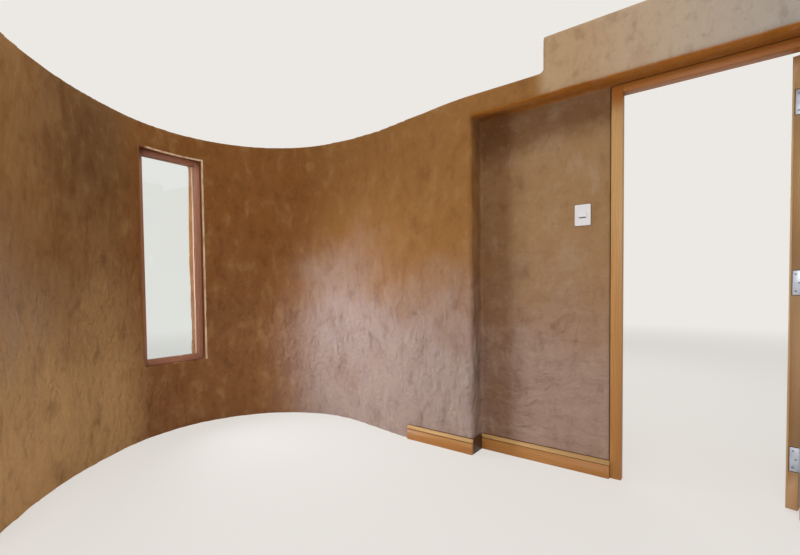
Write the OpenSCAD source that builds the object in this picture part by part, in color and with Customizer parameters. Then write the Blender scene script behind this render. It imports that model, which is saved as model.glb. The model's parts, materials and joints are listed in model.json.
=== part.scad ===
// Rounded mud wall of a small adobe house, with a slit window in its bay and,
// past a stepped pier, a recess that holds a timber door frame and its leaf.
// The foot of the recess wall is centred on the origin. X runs along that wall
// towards the doorway, Y runs through the doorway, and Z points up.

/* [Walls] */
// Thickness of the adobe walls and of the beam
wall_t = 230; // [180:10:400]
// Thickness of the thin wall at the back of the recess, and depth of the door frame
panel_t = 92; // [80:1:120]
// Width of the recess beside the door frame
recess_w = 760; // [500:10:1200]
// Height of the beam over the doorway
beam_h = 310; // [220:10:500]
// Height of the beam beside the low ceiling, which also sets the top of the curved walls
low_beam_h = 120; // [80:10:200]
// Length of beam that lies on the pier
bearing_l = 220; // [150:10:350]
// Distance from the pier to the step up in the beam's top
beam_step = 440; // [300:10:700]
// Width of the wall right of the doorway
end_pier_w = 350; // [250:10:800]
// Radius of the hand-rounded corners of the pier and the beam
arris_r = 12; // [5:1:30]

/* [Plan of the bay] */
// Width of the pier's face
pier_w = 490; // [400:10:700]
// Angle between the pier's face and the recess
pier_turn = 0; // [0:0.5:5]
// Length of the wall between the pier and the round corner
middle_w = 545; // [400:5:900]
// Angle between the middle wall and the recess
middle_turn = 7.9; // [3:0.1:10]
// Inner radius of the round corner
corner_r = 880; // [700:5:1300]
// Where the round corner gives way to the flatter left end, in degrees from X
corner_end_angle = 205; // [203:1:235]
// Inner radius of the left end
left_r = 1900; // [1200:50:4000]
// How far round the left end goes, in degrees
left_sweep_angle = 40; // [10:1:60]

/* [Slit window] */
// Width of the window frame
window_w = 460; // [350:10:600]
// Height of the window's sill over the floor
window_z = 500; // [350:10:900]
// Height of the wall over the window
over_window_h = 170; // [100:10:400]
// Width of each timber of the window frame
window_bar = 44; // [30:1:60]
// Depth of the window frame
window_d = 50; // [45:1:80]
// How far the window frame is set back from the bay's widest line
window_set_back = 15; // [0:1:60]
// How far the window's middle lies left of the bay's widest line
window_shift = 55; // [0:5:80]
// Thickness of the pane
glass_t = 6; // [4:1:10]
// Depth of the groove that holds the pane
glass_groove = 12; // [8:1:15]
// Thickness of the sill board outside
sill_board_t = 32; // [20:1:45]
// How far the sill board stands out past the wall
sill_board_out = 35; // [20:5:60]

/* [Door frame] */
// Clear width between the door posts
clear_w = 705; // [600:5:900]
// Clear height under the door head
clear_h = 2058; // [1900:1:2150]
// Width of the door posts' faces
post_w = 55; // [45:1:80]
// Height of the door head's face
head_h = 42; // [35:1:80]
// Depth of the rebate that the leaf closes into
rebate = 12; // [8:1:20]

/* [Door leaf] */
// Thickness of the leaf
leaf_t = 44; // [35:1:50]
// Gap round the leaf
leaf_gap = 5; // [5:0.5:8]
// Gap under the leaf
leaf_floor_gap = 10; // [6:1:30]
// How far the leaf stands open
open_angle = 103; // [0:1:112]
// Width of the stiles
stile_w = 105; // [80:5:140]
// Height of the top rail
top_rail_h = 110; // [80:5:160]
// Height of the lock rail
lock_rail_h = 160; // [100:5:220]
// Height of the lock rail's middle over the floor
lock_rail_z = 960; // [850:10:1100]
// Height of the bottom rail
bottom_rail_h = 210; // [150:5:280]
// Thickness of the panels at their edges
door_panel_t = 14; // [10:1:20]
// How far the middle of each panel is raised past its edges, on either side
panel_rise = 8; // [3:1:10]
// Width of the sloping band round the raised middle of each panel
panel_bevel_w = 38; // [20:1:60]
// Depth of the grooves that hold the panels
panel_groove = 14; // [8:1:20]

/* [Hinges and handle] */
// Distance from the leaf's foot to the middle of its lowest hinge
hinge_low = 234; // [120:1:300]
// Distance from the leaf's top to the middle of its highest hinge
hinge_high = 205; // [120:1:300]
// Height of each hinge
hinge_h = 110; // [75:1:125]
// Width of each hinge plate
hinge_plate_w = 32; // [25:1:40]
// Thickness of each hinge plate
hinge_plate_t = 2.5; // [1.5:0.1:3.5]
// Radius of the hinge pins
pin_r = 3.2; // [2.5:0.1:4]
// Radius of the hinge knuckles
knuckle_r = 6.5; // [5:0.1:8]
// Distance of the hinge pins' axis past the back of the leaf
pin_out = 8; // [7:0.5:12]
// Height of the handles over the floor
handle_z = 1000; // [900:10:1100]
// Distance of the handles from the leaf's lock edge
backset = 55; // [45:1:70]
// Length of a lever, from its neck to its tip
lever_l = 118; // [90:1:140]
// Distance of a lever's middle line from the leaf
lever_out = 48; // [40:1:60]

/* [Skirting and switch] */
// Height of the skirting boards
skirting_h = 95; // [60:1:150]
// Thickness of the skirting boards
skirting_t = 19; // [12:1:30]
// Radius of the skirting boards' top edge
skirting_r = 6; // [2:1:10]
// How far the pier's skirting board runs past its corner
skirting_past = 10; // [0:1:20]
// Width and height of the switch plate
switch_plate = [84, 117];
// Height of the switch plate's middle
switch_z = 1439; // [900:1:1500]
// Distance from the switch plate's middle to the door post
switch_to_post = 142; // [80:1:250]

/* [Hidden] */
$fn = 96;
ROUND_FN = 160;
CUT = 1;
FIT = 0.1;
RUN = 0.3;
SEAM_ANGLE = 0.003;

WALL_COLOR = "#a98a66";
BEAM_COLOR = "#b09a80";
PANEL_COLOR = "#9a8468";
PINE_COLOR = "#c98a4b";
PINE_DARK = "#a9672f";
STEEL_COLOR = "#b5bac4";
GLASS_COLOR = "#cfe4ea";
PLASTIC_COLOR = "#f2f1ec";

// Planes across the recess and the pier
back_y = panel_t / 2;
recess_y = -panel_t / 2;
front_y = back_y - wall_t;

// Places along the recess wall
corner_x = -recess_w / 2;
post_x = recess_w / 2;
clear_x0 = post_x + post_w;
clear_x1 = clear_x0 + clear_w;
frame_x1 = clear_x1 + post_w;
end_x = frame_x1 + end_pier_w;
soffit_z = clear_h + head_h;
wall_h = soffit_z + low_beam_h;
beam_top = soffit_z + beam_h;
step_x = corner_x + beam_step;

// Inner line of the bay, walked from the pier's corner to the left
function heading(a) = [cos(a), sin(a)];
pier_heading = 180 - pier_turn;
middle_heading = 180 - middle_turn;
pier_start = [corner_x, front_y];
pier_end = pier_start + pier_w * heading(pier_heading);
middle_end = pier_end + middle_w * heading(middle_heading);
corner_c = middle_end + corner_r * heading(middle_heading + 90);
left_c = corner_c - (left_r - corner_r) * heading(corner_end_angle);
corner_start_angle = middle_heading - 90;
corner_seam_angle = 127;
left_end_angle = corner_end_angle + left_sweep_angle;

// The same points on the outer side of the walls
pier_end_out = pier_end + wall_t * heading((pier_heading + middle_heading) / 2 - 90);
middle_end_out = middle_end + wall_t * heading(corner_start_angle);
pier_start_out = [corner_x, back_y];
bearing_x = corner_x - bearing_l;

// The window stands across the bay's widest line, on whole millimetres
window_y = round(corner_c[1]) - window_shift;
window_x = round(corner_c[0] - corner_r) - window_set_back;
window_y0 = window_y - window_w / 2;
window_y1 = window_y + window_w / 2;
window_top = wall_h - over_window_h;
pane_x = window_x - window_d / 2;
drip_r = 4;
bay_out_x = corner_c[0] - corner_r - wall_t;

// The leaf is drawn closed and then turned about its pins
rebate_y = back_y - leaf_t - leaf_gap;
hinge_face_x = clear_x1 + rebate;
leaf_x1 = hinge_face_x - leaf_gap;
leaf_x0 = clear_x0 - rebate + leaf_gap;
leaf_z0 = leaf_floor_gap;
leaf_z1 = clear_h + rebate - leaf_gap;
leaf_y0 = back_y - leaf_t;
low_hinge_z = leaf_z0 + hinge_low;
high_hinge_z = leaf_z1 - hinge_high;
hinge_zs = [low_hinge_z, (low_hinge_z + high_hinge_z) / 2, high_hinge_z];
pin = [hinge_face_x - leaf_gap / 2, back_y + pin_out];
lock_rail_z0 = lock_rail_z - lock_rail_h / 2;
lock_rail_z1 = lock_rail_z + lock_rail_h / 2;
panel_grip = panel_groove - 2;
panel_margin = 4;
handle_x = leaf_x0 + backset;
latch_h = 150;
latch_w = 22;
latch_t = 3;
rose_r = 26;
rose_t = 8;
rose_edge = 2;
lever_r = 9;
bend_r = 20;
spindle_r = 5;
knuckle_gap = 0.5;
pin_head = 2;
strike_hole = [14, 24];

// A block given by its two opposite corners
module block(lo, hi) {
    translate(lo) cube(hi - lo);
}

// Part of a round wall between two angles, as seen from its centre, a hair short of its first seam
module round_wall(centre, inner_r, from, to, z0, z1) {
    translate([centre[0], centre[1], z0])
        rotate([0, 0, from + SEAM_ANGLE])
            rotate_extrude(angle = to - from - SEAM_ANGLE, $fn = ROUND_FN)
                translate([inner_r, 0]) square([wall_t, z1 - z0]);
}

// The round corner of the bay from its middle seam to its end, where the window is
module bay_by_window(z0, z1) {
    round_wall(corner_c, corner_r, corner_seam_angle, corner_end_angle, z0, z1);
}

// A slab that reaches through the wall, over the window's width by default
module window_slab(z0, z1, y0 = window_y0, y1 = window_y1) {
    block([bay_out_x - wall_t, y0, z0], [corner_c[0], y1, z1]);
}

// A corner post of the plan with one rounded edge: w wide, d deep, edge at the right of the front
module rounded_plan(points, corner) {
    difference() {
        polygon(points);
        translate(corner - [arris_r, 0])
            difference() {
                square([arris_r + CUT, arris_r]);
                translate([0, arris_r]) circle(arris_r);
            }
    }
}

module pier() {
    color(WALL_COLOR)
        difference() {
            linear_extrude(wall_h)
                rounded_plan([pier_start, pier_start_out, pier_end_out, pier_end], pier_start);
            block([bearing_x, front_y - wall_t, soffit_z], [corner_x + CUT, back_y + wall_t, wall_h + CUT]);
        }
}

module middle_wall() {
    color(WALL_COLOR)
        linear_extrude(wall_h)
            polygon([pier_end, pier_end_out, middle_end_out, middle_end]);
}

module corner_wall() {
    color(WALL_COLOR)
        round_wall(corner_c, corner_r, corner_start_angle, corner_seam_angle, 0, wall_h);
}

module wall_right_of_window() {
    color(WALL_COLOR)
        difference() {
            bay_by_window(0, wall_h);
            window_slab(-CUT, wall_h + CUT, left_c[1] - left_r, window_y1);
        }
}

module wall_left_of_window() {
    color(WALL_COLOR)
        difference() {
            bay_by_window(0, wall_h);
            window_slab(-CUT, wall_h + CUT, window_y0, corner_c[1] + 2 * corner_r);
        }
}

module wall_below_window() {
    color(WALL_COLOR)
        difference() {
            intersection() {
                bay_by_window(0, window_z);
                window_slab(0, window_z);
            }
            block([bay_out_x - CUT, window_y0 - CUT, window_z - sill_board_t],
                  [window_x - window_d, window_y1 + CUT, window_z + CUT]);
        }
}

module wall_above_window() {
    color(WALL_COLOR)
        intersection() {
            bay_by_window(window_top, wall_h);
            window_slab(window_top, wall_h);
        }
}

module left_end_wall() {
    color(WALL_COLOR)
        round_wall(left_c, left_r, corner_end_angle, left_end_angle, 0, wall_h);
}

module recess_wall() {
    color(PANEL_COLOR) block([corner_x, recess_y, 0], [post_x, back_y, soffit_z]);
}

// The beam lies on the pier, passes over the recess and the doorway, and ends on the end pier
module beam() {
    color(BEAM_COLOR)
        difference() {
            union() {
                block([corner_x, front_y, soffit_z], [end_x, back_y, wall_h]);
                block([step_x, front_y, soffit_z], [end_x, back_y, beam_top]);
                intersection() {
                    translate([0, 0, soffit_z])
                        linear_extrude(wall_h - soffit_z)
                            polygon([pier_start, pier_start_out, pier_end_out, pier_end]);
                    block([bearing_x, front_y - wall_t, soffit_z], [corner_x, back_y + wall_t, wall_h]);
                }
            }
            beam_arris();
        }
}

// The rounding along the beam's lower front edge, over the recess and the doorway
module beam_arris() {
    translate([corner_x, front_y, soffit_z])
        rotate([90, 0, 90])
            linear_extrude(frame_x1 - corner_x)
                difference() {
                    translate([-CUT, -CUT]) square([arris_r + CUT, arris_r + CUT]);
                    translate([arris_r, arris_r]) circle(arris_r);
                }
}

module end_pier() {
    color(WALL_COLOR)
        linear_extrude(soffit_z)
            difference() {
                translate([frame_x1, front_y]) square([end_pier_w, wall_t]);
                translate([frame_x1, front_y])
                    difference() {
                        translate([-CUT, -CUT]) square([arris_r + CUT, arris_r + CUT]);
                        translate([arris_r, arris_r]) circle(arris_r);
                    }
            }
}

// One upright of the window frame, with its groove for the pane
module window_jamb(y0, groove_y) {
    color(PINE_DARK)
        difference() {
            block([window_x - window_d, y0, window_z], [window_x, y0 + window_bar, window_top]);
            block([pane_x - glass_t / 2, groove_y, window_z + window_bar - glass_groove],
                  [pane_x + glass_t / 2, groove_y + glass_groove, window_top - window_bar + glass_groove]);
        }
}

// One level timber of the window frame, between the uprights
module window_rail(z0, groove_z) {
    color(PINE_DARK)
        difference() {
            block([window_x - window_d, window_y0 + window_bar, z0],
                  [window_x, window_y1 - window_bar, z0 + window_bar]);
            block([pane_x - glass_t / 2, window_y0, groove_z],
                  [pane_x + glass_t / 2, window_y1, groove_z + glass_groove]);
        }
}

module window_right_jamb() {
    window_jamb(window_y1 - window_bar, window_y1 - window_bar);
}

module window_left_jamb() {
    window_jamb(window_y0, window_y0 + window_bar - glass_groove);
}

module window_head() {
    window_rail(window_top - window_bar, window_top - window_bar);
}

module window_sill() {
    window_rail(window_z, window_z + window_bar - glass_groove);
}

module window_glass() {
    grip = glass_groove - 2;
    color(GLASS_COLOR, 0.4)
        block([pane_x - glass_t / 2, window_y0 + window_bar - grip, window_z + window_bar - grip],
              [pane_x + glass_t / 2, window_y1 - window_bar + grip, window_top - window_bar + grip]);
}

// The sill board has a rounded nose, and a groove under it that sheds the rain
module window_sill_board() {
    nose_x = bay_out_x - sill_board_out;
    color(PINE_DARK)
        translate([0, window_y1, window_z - sill_board_t])
            rotate([90, 0, 0])
                linear_extrude(window_w)
                    difference() {
                        union() {
                            translate([nose_x + sill_board_t / 2, sill_board_t / 2]) circle(sill_board_t / 2);
                            translate([nose_x + sill_board_t / 2, 0])
                                square([window_x - window_d - nose_x - sill_board_t / 2, sill_board_t]);
                        }
                        translate([nose_x + sill_board_t, 0]) circle(drip_r);
                    }
}

// A post of the door frame: side is 1 where the doorway lies to its right and -1 to its left
module door_post(inner_x, side) {
    outer_x = inner_x - side * post_w;
    color(PINE_COLOR)
        difference() {
            block([min(inner_x, outer_x), recess_y, 0], [max(inner_x, outer_x), back_y, soffit_z]);
            block([min(inner_x + CUT * side, inner_x - rebate * side), rebate_y, -CUT],
                  [max(inner_x + CUT * side, inner_x - rebate * side), back_y + CUT, clear_h + rebate]);
        }
}

module door_left_post() {
    difference() {
        door_post(clear_x0, 1);
        strike_cut();
    }
}

module strike_cut() {
    block([clear_x0 - rebate - latch_t, leaf_y0 + (leaf_t - latch_w) / 2, handle_z - latch_h / 2],
          [clear_x0 - rebate + CUT, leaf_y0 + (leaf_t + latch_w) / 2, handle_z + latch_h / 2]);
}

module door_right_post() {
    difference() {
        door_post(clear_x1, -1);
        for (z = hinge_zs) frame_plate(z, FIT);
    }
}

module door_head() {
    color(PINE_COLOR)
        difference() {
            block([clear_x0, recess_y, clear_h], [clear_x1, back_y, soffit_z]);
            block([clear_x0 - CUT, rebate_y, clear_h - CUT], [clear_x1 + CUT, back_y + CUT, clear_h + rebate]);
        }
}

module strike_plate() {
    color(STEEL_COLOR)
        difference() {
            block([clear_x0 - rebate - latch_t, leaf_y0 + (leaf_t - latch_w) / 2, handle_z - latch_h / 2],
                  [clear_x0 - rebate, leaf_y0 + (leaf_t + latch_w) / 2, handle_z + latch_h / 2]);
            block([clear_x0 - rebate - latch_t - CUT, leaf_y0 + (leaf_t - strike_hole[0]) / 2,
                   handle_z - strike_hole[1] / 2],
                  [clear_x0 - rebate + CUT, leaf_y0 + (leaf_t + strike_hole[0]) / 2,
                   handle_z + strike_hole[1] / 2]);
        }
}

// Turns what is drawn on the closed leaf to where the leaf stands
module swing() {
    translate(pin) rotate([0, 0, -open_angle]) translate(-pin) children();
}

// The groove round a panel
module panel_cut(z0, z1) {
    mid_y = leaf_y0 + leaf_t / 2;
    block([leaf_x0 + stile_w - panel_groove, mid_y - door_panel_t / 2, z0 - panel_groove],
          [leaf_x1 - stile_w + panel_groove, mid_y + door_panel_t / 2, z1 + panel_groove]);
}

module panel_cuts() {
    panel_cut(leaf_z0 + bottom_rail_h, lock_rail_z0);
    panel_cut(lock_rail_z1, leaf_z1 - top_rail_h);
}

module leaf_hinge_stile() {
    color(PINE_COLOR)
        swing()
            difference() {
                block([leaf_x1 - stile_w, leaf_y0, leaf_z0], [leaf_x1, back_y, leaf_z1]);
                panel_cuts();
                for (z = hinge_zs) leaf_plate(z, FIT);
            }
}

module leaf_lock_stile() {
    color(PINE_COLOR)
        swing()
            difference() {
                block([leaf_x0, leaf_y0, leaf_z0], [leaf_x0 + stile_w, back_y, leaf_z1]);
                panel_cuts();
                latch_block();
                translate([handle_x, leaf_y0 - CUT, handle_z])
                    rotate([-90, 0, 0]) cylinder(h = leaf_t + 2 * CUT, r = spindle_r + 1);
            }
}

module leaf_rail(z0, z1) {
    color(PINE_COLOR)
        swing()
            difference() {
                block([leaf_x0 + stile_w, leaf_y0, z0], [leaf_x1 - stile_w, back_y, z1]);
                panel_cuts();
            }
}

module leaf_top_rail() {
    leaf_rail(leaf_z1 - top_rail_h, leaf_z1);
}

module leaf_lock_rail() {
    leaf_rail(lock_rail_z0, lock_rail_z1);
}

module leaf_bottom_rail() {
    leaf_rail(leaf_z0, leaf_z0 + bottom_rail_h);
}

// Outline of a panel cut across: thin in the groove, then sloping up to its raised middle
function panel_outline(from, to) =
    let (thin = door_panel_t / 2, thick = thin + panel_rise, flat = panel_grip + panel_margin,
         slope = flat + panel_bevel_w)
    [[from, -thin], [from + flat, -thin], [from + slope, -thick], [to - slope, -thick],
     [to - flat, -thin], [to, -thin], [to, thin], [to - flat, thin],
     [to - slope, thick], [from + slope, thick], [from + flat, thin], [from, thin]];

// A raised panel: what its outline across the leaf and its outline up the leaf have in common
module leaf_panel(z0, z1) {
    x0 = leaf_x0 + stile_w - panel_grip;
    x1 = leaf_x1 - stile_w + panel_grip;
    color(PINE_COLOR)
        swing()
            translate([0, leaf_y0 + leaf_t / 2, 0])
                intersection() {
                    translate([0, 0, z0 - panel_grip])
                        linear_extrude(z1 - z0 + 2 * panel_grip) polygon(panel_outline(x0, x1));
                    translate([x0, 0, 0])
                        rotate([90, 0, 90])
                            linear_extrude(x1 - x0)
                                rotate(90) mirror([0, 1]) polygon(panel_outline(z0 - panel_grip, z1 + panel_grip));
                }
}

module leaf_upper_panel() {
    leaf_panel(lock_rail_z1, leaf_z1 - top_rail_h);
}

module leaf_lower_panel() {
    leaf_panel(leaf_z0 + bottom_rail_h, lock_rail_z0);
}

module latch_block() {
    block([leaf_x0 - CUT, leaf_y0 + (leaf_t - latch_w) / 2, handle_z - latch_h / 2],
          [leaf_x0 + latch_t, leaf_y0 + (leaf_t + latch_w) / 2, handle_z + latch_h / 2]);
}

module latch_plate() {
    color(STEEL_COLOR)
        swing()
            block([leaf_x0, leaf_y0 + (leaf_t - latch_w) / 2, handle_z - latch_h / 2],
                  [leaf_x0 + latch_t, leaf_y0 + (leaf_t + latch_w) / 2, handle_z + latch_h / 2]);
}

// A lever on its rose: side is -1 on the room's side of the leaf and 1 on the other
module lever(side) {
    face_y = side < 0 ? leaf_y0 : back_y;
    translate([handle_x, face_y, handle_z])
        rotate([-90 * side, 0, 0]) {
            cylinder(h = rose_t - rose_edge, r = rose_r);
            translate([0, 0, rose_t - rose_edge]) cylinder(h = rose_edge, r1 = rose_r, r2 = rose_r - rose_edge);
            cylinder(h = lever_out - bend_r, r = lever_r);
            translate([bend_r, 0, lever_out - bend_r])
                rotate([90, 0, 0])
                    rotate([0, 0, 90])
                        rotate_extrude(angle = 90) translate([bend_r, 0]) circle(lever_r);
            translate([bend_r, 0, lever_out]) rotate([0, 90, 0]) cylinder(h = lever_l - bend_r, r = lever_r);
            translate([lever_l, 0, lever_out]) sphere(lever_r);
        }
}

module lever_room_side() {
    color(STEEL_COLOR)
        swing() {
            lever(-1);
            translate([handle_x, leaf_y0 - CUT, handle_z])
                rotate([-90, 0, 0]) cylinder(h = leaf_t + CUT, r = spindle_r);
        }
}

module lever_bedroom_side() {
    color(STEEL_COLOR) swing() lever(1);
}

// The plate of a hinge that is let into the right post
module frame_plate(z, grow) {
    block([hinge_face_x - grow, back_y - hinge_plate_w - grow, z - hinge_h / 2 - grow],
          [hinge_face_x + hinge_plate_t, back_y + pin_out, z + hinge_h / 2 + grow]);
}

// The plate of a hinge that is let into the leaf's edge
module leaf_plate(z, grow) {
    block([leaf_x1 - hinge_plate_t, back_y - hinge_plate_w - grow, z - hinge_h / 2 - grow],
          [leaf_x1 + grow, back_y + pin_out, z + hinge_h / 2 + grow]);
}

// Height of the lower end of each of a hinge's three knuckles, and of the top
function knuckle_z(z, i) = z - hinge_h / 2 + i * hinge_h / 3;

// The plates reach the knuckles through a short web
module knuckle(z0, z1) {
    translate([pin[0], pin[1], z0]) cylinder(h = z1 - z0, r = knuckle_r);
}

module hinge_frame_side(i) {
    z = hinge_zs[i];
    color(STEEL_COLOR) {
        difference() {
            union() {
                block([hinge_face_x, back_y - hinge_plate_w, z - hinge_h / 2],
                      [hinge_face_x + hinge_plate_t, back_y + pin_out, z + hinge_h / 2]);
                knuckle(knuckle_z(z, 0), knuckle_z(z, 3));
            }
            translate([pin[0], pin[1], knuckle_z(z, 1) - knuckle_gap])
                cylinder(h = hinge_h / 3 + 2 * knuckle_gap, r = knuckle_r + knuckle_gap);
        }
        translate([pin[0], pin[1], knuckle_z(z, 0) - pin_head])
            cylinder(h = hinge_h + 2 * pin_head, r = pin_r);
    }
}

module hinge_leaf_side(i) {
    z = hinge_zs[i];
    color(STEEL_COLOR)
        swing()
            difference() {
                union() {
                    block([leaf_x1 - hinge_plate_t, back_y - hinge_plate_w, z - hinge_h / 2],
                          [leaf_x1, back_y + pin_out, z + hinge_h / 2]);
                    knuckle(knuckle_z(z, 1), knuckle_z(z, 2));
                }
                for (k = [0, 2])
                    translate([pin[0], pin[1], knuckle_z(z, k) - knuckle_gap])
                        cylinder(h = hinge_h / 3 + 2 * knuckle_gap, r = knuckle_r + knuckle_gap);
                translate([pin[0], pin[1], z - hinge_h]) cylinder(h = 2 * hinge_h, r = pin_r + FIT);
            }
}

// A length of skirting board along X with its back on Y = 0 and its top front edge rounded
module skirting(length) {
    color(PINE_COLOR)
        rotate([90, 0, 90])
            linear_extrude(length)
                difference() {
                    translate([-skirting_t, 0]) square([skirting_t, skirting_h]);
                    translate([-skirting_t, skirting_h - skirting_r])
                        difference() {
                            translate([-CUT, 0]) square([skirting_r + CUT, skirting_r + CUT]);
                            translate([skirting_r, 0]) circle(skirting_r);
                        }
                }
}

module pier_skirting() {
    translate([pier_end[0], pier_end[1], 0])
        rotate([0, 0, -pier_turn]) skirting(pier_w + skirting_past);
}

module recess_skirting() {
    translate([corner_x, recess_y, 0]) skirting(recess_w);
}

module end_pier_skirting() {
    translate([frame_x1, front_y, 0]) skirting(end_pier_w);
}

switch_x = post_x - switch_to_post;
plate_t = 7;
rocker = [45, 23];
rocker_out = 4;

module switch_plate() {
    color(PLASTIC_COLOR)
        difference() {
            block([switch_x - switch_plate[0] / 2, recess_y - plate_t, switch_z - switch_plate[1] / 2],
                  [switch_x + switch_plate[0] / 2, recess_y, switch_z + switch_plate[1] / 2]);
            block([switch_x - rocker[0] / 2, recess_y - plate_t - CUT, switch_z - rocker[1] / 2],
                  [switch_x + rocker[0] / 2, recess_y + CUT, switch_z + rocker[1] / 2]);
        }
}

module switch_rocker() {
    color(PLASTIC_COLOR)
        block([switch_x - rocker[0] / 2 + RUN, recess_y - plate_t - rocker_out, switch_z - rocker[1] / 2 + RUN],
              [switch_x + rocker[0] / 2 - RUN, recess_y, switch_z + rocker[1] / 2 - RUN]);
}

pier();
middle_wall();
corner_wall();
wall_right_of_window();
wall_below_window();
wall_above_window();
wall_left_of_window();
left_end_wall();
recess_wall();
beam();
end_pier();
window_right_jamb();
window_left_jamb();
window_head();
window_sill();
window_glass();
window_sill_board();
door_left_post();
door_right_post();
door_head();
strike_plate();
leaf_hinge_stile();
leaf_lock_stile();
leaf_top_rail();
leaf_lock_rail();
leaf_bottom_rail();
leaf_upper_panel();
leaf_lower_panel();
latch_plate();
lever_room_side();
lever_bedroom_side();
hinge_frame_side(0);  // hinge_frame_side_1
hinge_frame_side(1);  // hinge_frame_side_2
hinge_frame_side(2);  // hinge_frame_side_3
hinge_leaf_side(0);  // hinge_leaf_side_1
hinge_leaf_side(1);  // hinge_leaf_side_2
hinge_leaf_side(2);  // hinge_leaf_side_3
pier_skirting();
recess_skirting();
end_pier_skirting();
switch_plate();
switch_rocker();
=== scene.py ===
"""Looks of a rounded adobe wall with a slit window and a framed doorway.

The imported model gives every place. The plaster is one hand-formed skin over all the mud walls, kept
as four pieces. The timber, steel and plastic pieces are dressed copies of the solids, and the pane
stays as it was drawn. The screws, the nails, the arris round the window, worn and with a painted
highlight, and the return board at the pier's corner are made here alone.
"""

from __future__ import annotations

import json
import logging
import math
from dataclasses import dataclass, field
from enum import Enum
from typing import Any, Mapping, Sequence

import bmesh
import bpy
from mathutils import Matrix, Vector, noise


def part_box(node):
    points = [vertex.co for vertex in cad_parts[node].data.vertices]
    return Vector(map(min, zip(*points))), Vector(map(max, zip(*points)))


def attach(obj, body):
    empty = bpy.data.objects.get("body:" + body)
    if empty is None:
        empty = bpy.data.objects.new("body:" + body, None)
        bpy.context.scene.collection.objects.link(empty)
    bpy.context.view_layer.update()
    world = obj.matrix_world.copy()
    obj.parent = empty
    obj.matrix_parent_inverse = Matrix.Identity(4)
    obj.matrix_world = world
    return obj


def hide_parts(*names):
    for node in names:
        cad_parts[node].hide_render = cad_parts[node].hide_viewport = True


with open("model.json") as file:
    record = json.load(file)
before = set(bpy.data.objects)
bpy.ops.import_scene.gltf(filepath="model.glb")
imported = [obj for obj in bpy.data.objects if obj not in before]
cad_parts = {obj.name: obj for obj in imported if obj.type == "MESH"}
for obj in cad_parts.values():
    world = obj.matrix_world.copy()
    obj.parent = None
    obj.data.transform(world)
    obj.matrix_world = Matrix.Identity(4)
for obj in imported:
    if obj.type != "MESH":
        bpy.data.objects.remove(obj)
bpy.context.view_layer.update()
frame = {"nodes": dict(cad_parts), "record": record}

logging.basicConfig(level=logging.INFO, format="%(message)s")
log = logging.getLogger("adobe_wall")

Colour = tuple[float, float, float, float]
Point = tuple[float, float, float]
Box = tuple[Vector, Vector]
# Where a change starts and where it is full.
Ramp = tuple[float, float]

UP_AXIS = Vector((0.0, 0.0, 1.0))
RIGHT, LEFT = Vector((1.0, 0.0, 0.0)), Vector((-1.0, 0.0, 0.0))
SKIRTINGS = ("pier_skirting", "recess_skirting", "end_pier_skirting")

# Points closer together than these are one, in metres.
WALL_MERGE = 0.0004
MESH_MERGE = 0.00002
EDGE_MERGE = 0.00001
FACE_MERGE = 0.0000001
# Faces that turn less than this, in degrees, are one flat face.
FLAT_TURN = 0.5


def rgb(red: int, green: int, blue: int) -> Colour:
    """Turns a screen colour, 0 to 255, into the linear colour that a shader takes."""

    def linear(level: int) -> float:
        """One channel, 0 to 255, as a linear share."""
        share = level / 255
        return share / 12.92 if share <= 0.04045 else ((share + 0.055) / 1.055) ** 2.4

    return (linear(red), linear(green), linear(blue), 1.0)


# ---- Shader sums ----


class Term:
    """One output socket, so that a shader's sums are written as Python expressions."""

    def __init__(self, sheet: "Graph", socket: bpy.types.NodeSocket) -> None:
        """Wraps an output socket.

        Args:
            sheet: The tree that the socket belongs to.
            socket: The socket.
        """
        self.sheet = sheet
        self.socket = socket

    def _sum(self, operation: str, *operands: Any, clamp: bool = False) -> "Term":
        """Adds one Math node and returns its result."""
        settings = {"operation": operation, "use_clamp": clamp}
        return self.sheet.node("ShaderNodeMath", settings, dict(enumerate(operands)))

    def __add__(self, other: Any) -> "Term":
        """self + other."""
        return self._sum("ADD", self, other)

    __radd__ = __add__

    def __sub__(self, other: Any) -> "Term":
        """self - other."""
        return self._sum("SUBTRACT", self, other)

    def __rsub__(self, other: Any) -> "Term":
        """other - self."""
        return self._sum("SUBTRACT", other, self)

    def __mul__(self, other: Any) -> "Term":
        """self * other."""
        return self._sum("MULTIPLY", self, other)

    __rmul__ = __mul__

    def __pow__(self, other: Any) -> "Term":
        """self to the power of other."""
        return self._sum("POWER", self, other)

    def __abs__(self) -> "Term":
        """The distance of self from nought."""
        return self._sum("ABSOLUTE", self)

    def most(self, other: Any) -> "Term":
        """The greater of self and other."""
        return self._sum("MAXIMUM", self, other)

    def sine(self) -> "Term":
        """The sine of self, in radians."""
        return self._sum("SINE", self)

    def root(self) -> "Term":
        """The square root of self."""
        return self._sum("SQRT", self)

    def clip(self) -> "Term":
        """self held between 0 and 1."""
        return self._sum("ADD", self, 0.0, clamp=True)

    def step(self, low: float, high: float) -> "Term":
        """Rises smoothly from 0 at low to 1 at high.

        Args:
            low: Where the rise starts. It may be above high, and then self falls.
            high: Where the rise ends.

        Returns:
            The eased share.
        """
        flipped = low > high
        settings = {"interpolation_type": "SMOOTHSTEP"}
        start, end = min(low, high), max(low, high)
        inputs = {0: self, 1: start, 2: end, 3: float(flipped), 4: float(not flipped)}
        return self.sheet.node("ShaderNodeMapRange", settings, inputs)


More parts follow.
